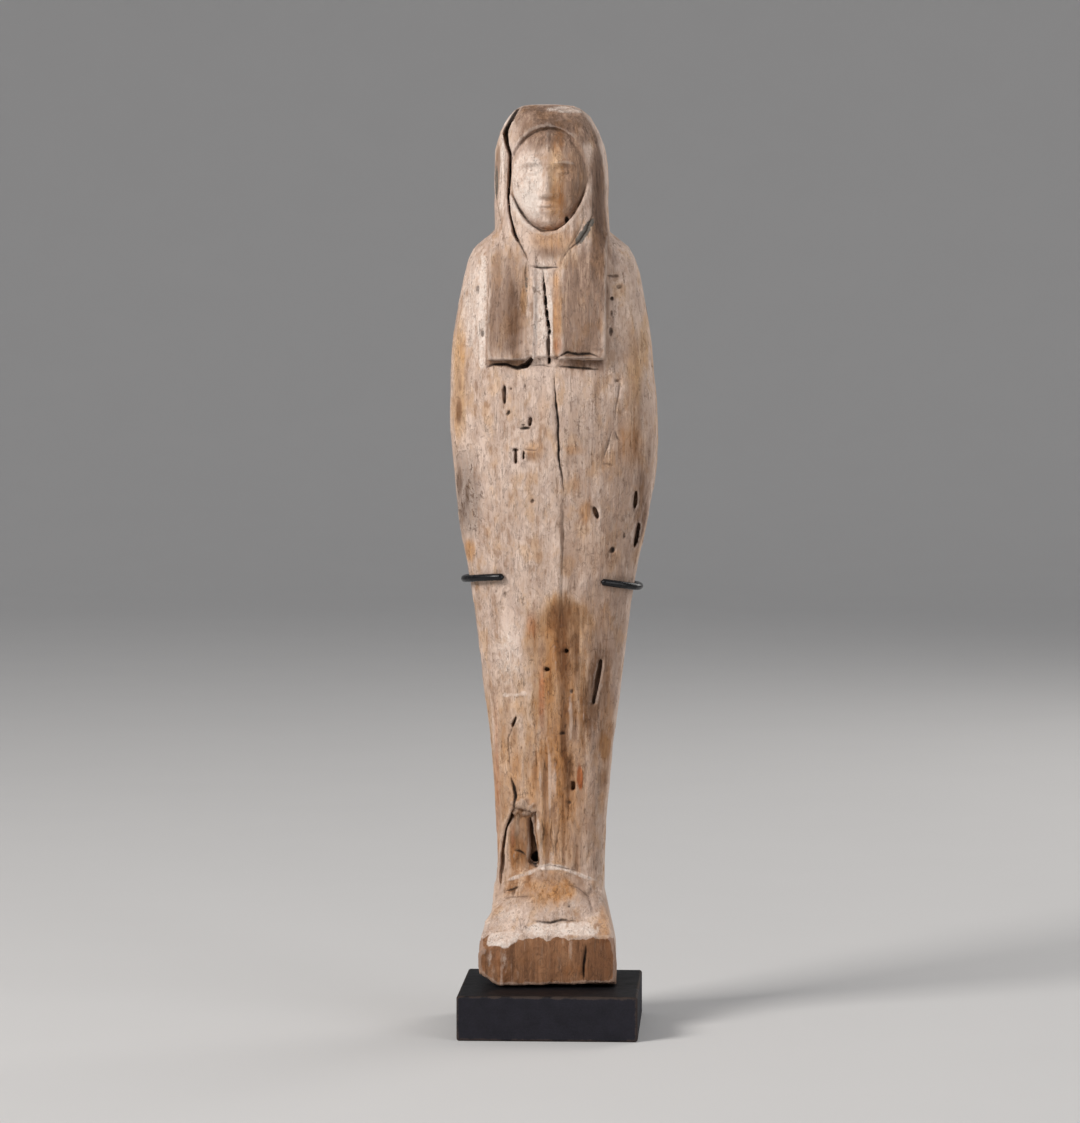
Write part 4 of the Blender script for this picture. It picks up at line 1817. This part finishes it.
@dataclass
class WaistClip:
    """The sleeved wire bent round the hips, open in front."""

    radius: float = 0.8
    height: float = 100.1
    side_rise: float = 0.8
    tip_rise: float = 1.7
    right_end: float = -0.305 * math.pi
    left_end: float = 1.345 * math.pi
    hug: float = 0.3
    hip_half_width: float = 18.62
    hip_front: float = 9.74
    hip_back: float = 11.03
    front_flatness: float = 2.15
    back_flatness: float = 2.7
    steps: int = 160
    sides: int = 20
    piece: bpy.types.Object = field(init=False)

    def route(self) -> list[Vector]:
        """The middle of the wire, from tip to tip, in metres."""
        clearance = self.hug + self.radius
        points = []
        for step in range(self.steps + 1):
            around = self.right_end + (self.left_end - self.right_end) * step / self.steps
            cos, sin = math.cos(around), math.sin(around)
            flatness = self.front_flatness if sin < 0 else self.back_flatness
            reach = self.hip_front if sin < 0 else self.hip_back
            across = math.copysign(abs(cos) ** (2 / flatness), cos)
            back = math.copysign(abs(sin) ** (2 / flatness), sin)
            x = (self.hip_half_width + clearance) * across
            y = reach * back + clearance * sin
            z = self.height - self.side_rise * cos + self.tip_rise * min(0.0, sin) ** 2
            points.append(Vector((x, y, z)))
        place = Matrix.Scale(MM, 4) @ Matrix.Translation((0.0, FIGURE_BACK, 0.0))
        place = place @ Matrix.Rotation(FIGURE_TURN, 4, "Z")
        return [place @ point for point in points]

    def build(self) -> bpy.types.Object:
        """Sweeps the sleeve along the route and rounds its tips.

        Returns:
            The finished piece.
        """
        route = self.route()
        curve = bpy.data.curves.new("clip_route", "CURVE")
        curve.dimensions = "3D"
        curve.bevel_depth = self.radius * MM
        curve.bevel_resolution = self.sides // 4
        curve.use_fill_caps = True
        spline = curve.splines.new("POLY")
        spline.points.add(len(route) - 1)
        for i, (point, place) in enumerate(zip(spline.points, route)):
            point.co = (*place, 1.0)
            point.radius = self._swell(i, route)
        holder = bpy.data.objects.new("clip_route", curve)
        bpy.context.scene.collection.objects.link(holder)
        bpy.context.view_layer.update()
        graph = bpy.context.evaluated_depsgraph_get()
        mesh = bpy.data.meshes.new_from_object(holder.evaluated_get(graph))
        bpy.data.objects.remove(holder)
        bm = bmesh.new()
        bm.from_mesh(mesh)
        bpy.data.meshes.remove(mesh)
        bmesh.ops.remove_doubles(bm, verts=bm.verts, dist=0.002 * MM)
        self.piece = piece_from("clip_sleeve", bm)
        return self.piece

    def _swell(self, i: int, route: list[Vector]) -> float:
        """The sleeve's thickness at a point of its route, as a share of its radius."""
        from_start = (route[i] - route[0]).length / MM
        from_end = (route[i] - route[-1]).length / MM
        near = min(from_start, from_end)
        if near >= self.radius:
            return 1.0
        return max(0.05, math.sqrt(1.0 - (1.0 - near / self.radius) ** 2))

    def dress(self) -> None:
        """Gives the clip its shiny sleeve."""
        self.piece.data.materials.clear()
        self.piece.data.materials.append(GlossSleeve().make())
        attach(self.piece, BODY)
        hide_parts("waist_clip")


# ---------------------------------------------------------------------------
# The studio
# ---------------------------------------------------------------------------


@dataclass(frozen=True)
class SoftLamp:
    """A square studio light that faces a point on the part."""

    name: str
    place: tuple[float, float, float]
    size: float
    power: float
    colour: Colour = (1.0, 1.0, 1.0)

    def hang(self, aim: Vector) -> None:
        """Puts the light in the scene, facing that point."""
        data = bpy.data.lights.new(self.name, "AREA")
        data.shape = "SQUARE"
        data.size = self.size
        data.energy = self.power
        data.color = self.colour
        lamp = bpy.data.objects.new(self.name, data)
        lamp.location = self.place
        lamp.rotation_euler = (aim - Vector(self.place)).to_track_quat("-Z", "Y").to_euler()
        bpy.context.scene.collection.objects.link(lamp)


@dataclass
class Studio:
    """The pale floor, the soft lights and the camera."""

    camera_place: tuple[float, float, float] = (0.04195, -0.8930, 0.1512)
    camera_heading: float = math.radians(2.85)
    camera_dip: float = math.radians(2.96)
    camera_near: float = 0.05
    lens: float = 128.1
    sensor: float = 36.0
    floor_flat: float = 1.5
    floor_reach: float = 2.9
    wall_height: float = 2.2
    bend_steps: int = 20
    floor_sides: int = 96
    air_colour: Colour = (0.80, 0.82, 0.86)
    air_strength: float = 0.42
    lamps: tuple[SoftLamp, ...] = (
        SoftLamp("key_lamp", (-0.84, -0.70, 0.80), 0.45, 15.0, (1.0, 0.97, 0.94)),
        SoftLamp("fill_lamp", (0.9, -0.7, 0.35), 0.8, 4.5, (0.97, 0.98, 1.0)),
        SoftLamp("rim_lamp", (0.6, 0.6, 0.5), 0.5, 2.5, (1.0, 0.97, 0.94)),
    )

    def build(self) -> None:
        """Lays the floor, hangs the lights and sets up the camera."""
        floor = piece_from("studio_floor", self._sweep())
        floor.data.materials.append(StudioPaper().make())
        floor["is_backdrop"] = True
        low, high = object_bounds()
        for lamp in self.lamps:
            lamp.hang((low + high) / 2)
        self._air()
        self._camera()

    def _sweep(self) -> bmesh.types.BMesh:
        """A round floor whose rim curves up, so that no edge shows behind the part."""
        bm = bmesh.new()
        bend = self.floor_reach - self.floor_flat
        profile = [(0.0, 0.0), (self.floor_flat, 0.0)]
        for step in range(1, self.bend_steps + 1):
            around = 0.5 * math.pi * step / self.bend_steps
            profile.append((self.floor_flat + bend * math.sin(around), bend * (1.0 - math.cos(around))))
        profile.append((self.floor_reach, self.wall_height))
        corners = [bm.verts.new((reach, 0.0, height)) for reach, height in profile]
        edges = [bm.edges.new(pair) for pair in zip(corners, corners[1:])]
        bmesh.ops.spin(
            bm,
            geom=corners + edges,
            cent=(0.0, 0.0, 0.0),
            axis=(0.0, 0.0, 1.0),
            angle=2.0 * math.pi,
            steps=self.floor_sides,
            use_merge=True,
        )
        bmesh.ops.remove_doubles(bm, verts=bm.verts, dist=0.01 * MM)
        return bm

    def _air(self) -> None:
        """The even light that comes from all round."""
        world = bpy.data.worlds.new("studio_air")
        world.use_nodes = True
        background = world.node_tree.nodes["Background"]
        background.inputs["Color"].default_value = (*self.air_colour, 1.0)
        background.inputs["Strength"].default_value = self.air_strength
        bpy.context.scene.world = world
        bpy.context.scene.view_settings.view_transform = "Standard"

    def _camera(self) -> None:
        """Sets the camera at its viewing angle."""
        data = bpy.data.cameras.new("studio_camera")
        data.sensor_fit = "VERTICAL"
        data.sensor_height = self.sensor
        data.lens = self.lens
        data.clip_start = self.camera_near
        camera = bpy.data.objects.new("studio_camera", data)
        heading = Matrix.Rotation(self.camera_heading, 4, "Z")
        tilt = Matrix.Rotation(math.pi / 2 - self.camera_dip, 4, "X")
        camera.matrix_world = Matrix.Translation(self.camera_place) @ heading @ tilt
        bpy.context.scene.collection.objects.link(camera)
        bpy.context.scene.camera = camera


# ---------------------------------------------------------------------------
# The order of the work
# ---------------------------------------------------------------------------


def report(piece: bpy.types.Object) -> None:
    """Logs a finished piece and how many triangles it has."""
    piece.data.calc_loop_triangles()
    LOG.info("%s: %d triangles", piece.name, len(piece.data.loop_triangles))


def main() -> None:
    """Builds the part in order, then the studio around it."""
    logging.basicConfig(level=logging.INFO, format="%(name)s %(message)s")
    for subassembly in (BaseBlock(), UprightRod(), WaistClip(), CarvedFigure()):
        piece = subassembly.build()
        subassembly.dress()
        report(piece)
    Studio().build()


if __name__ == "__main__":
    main()
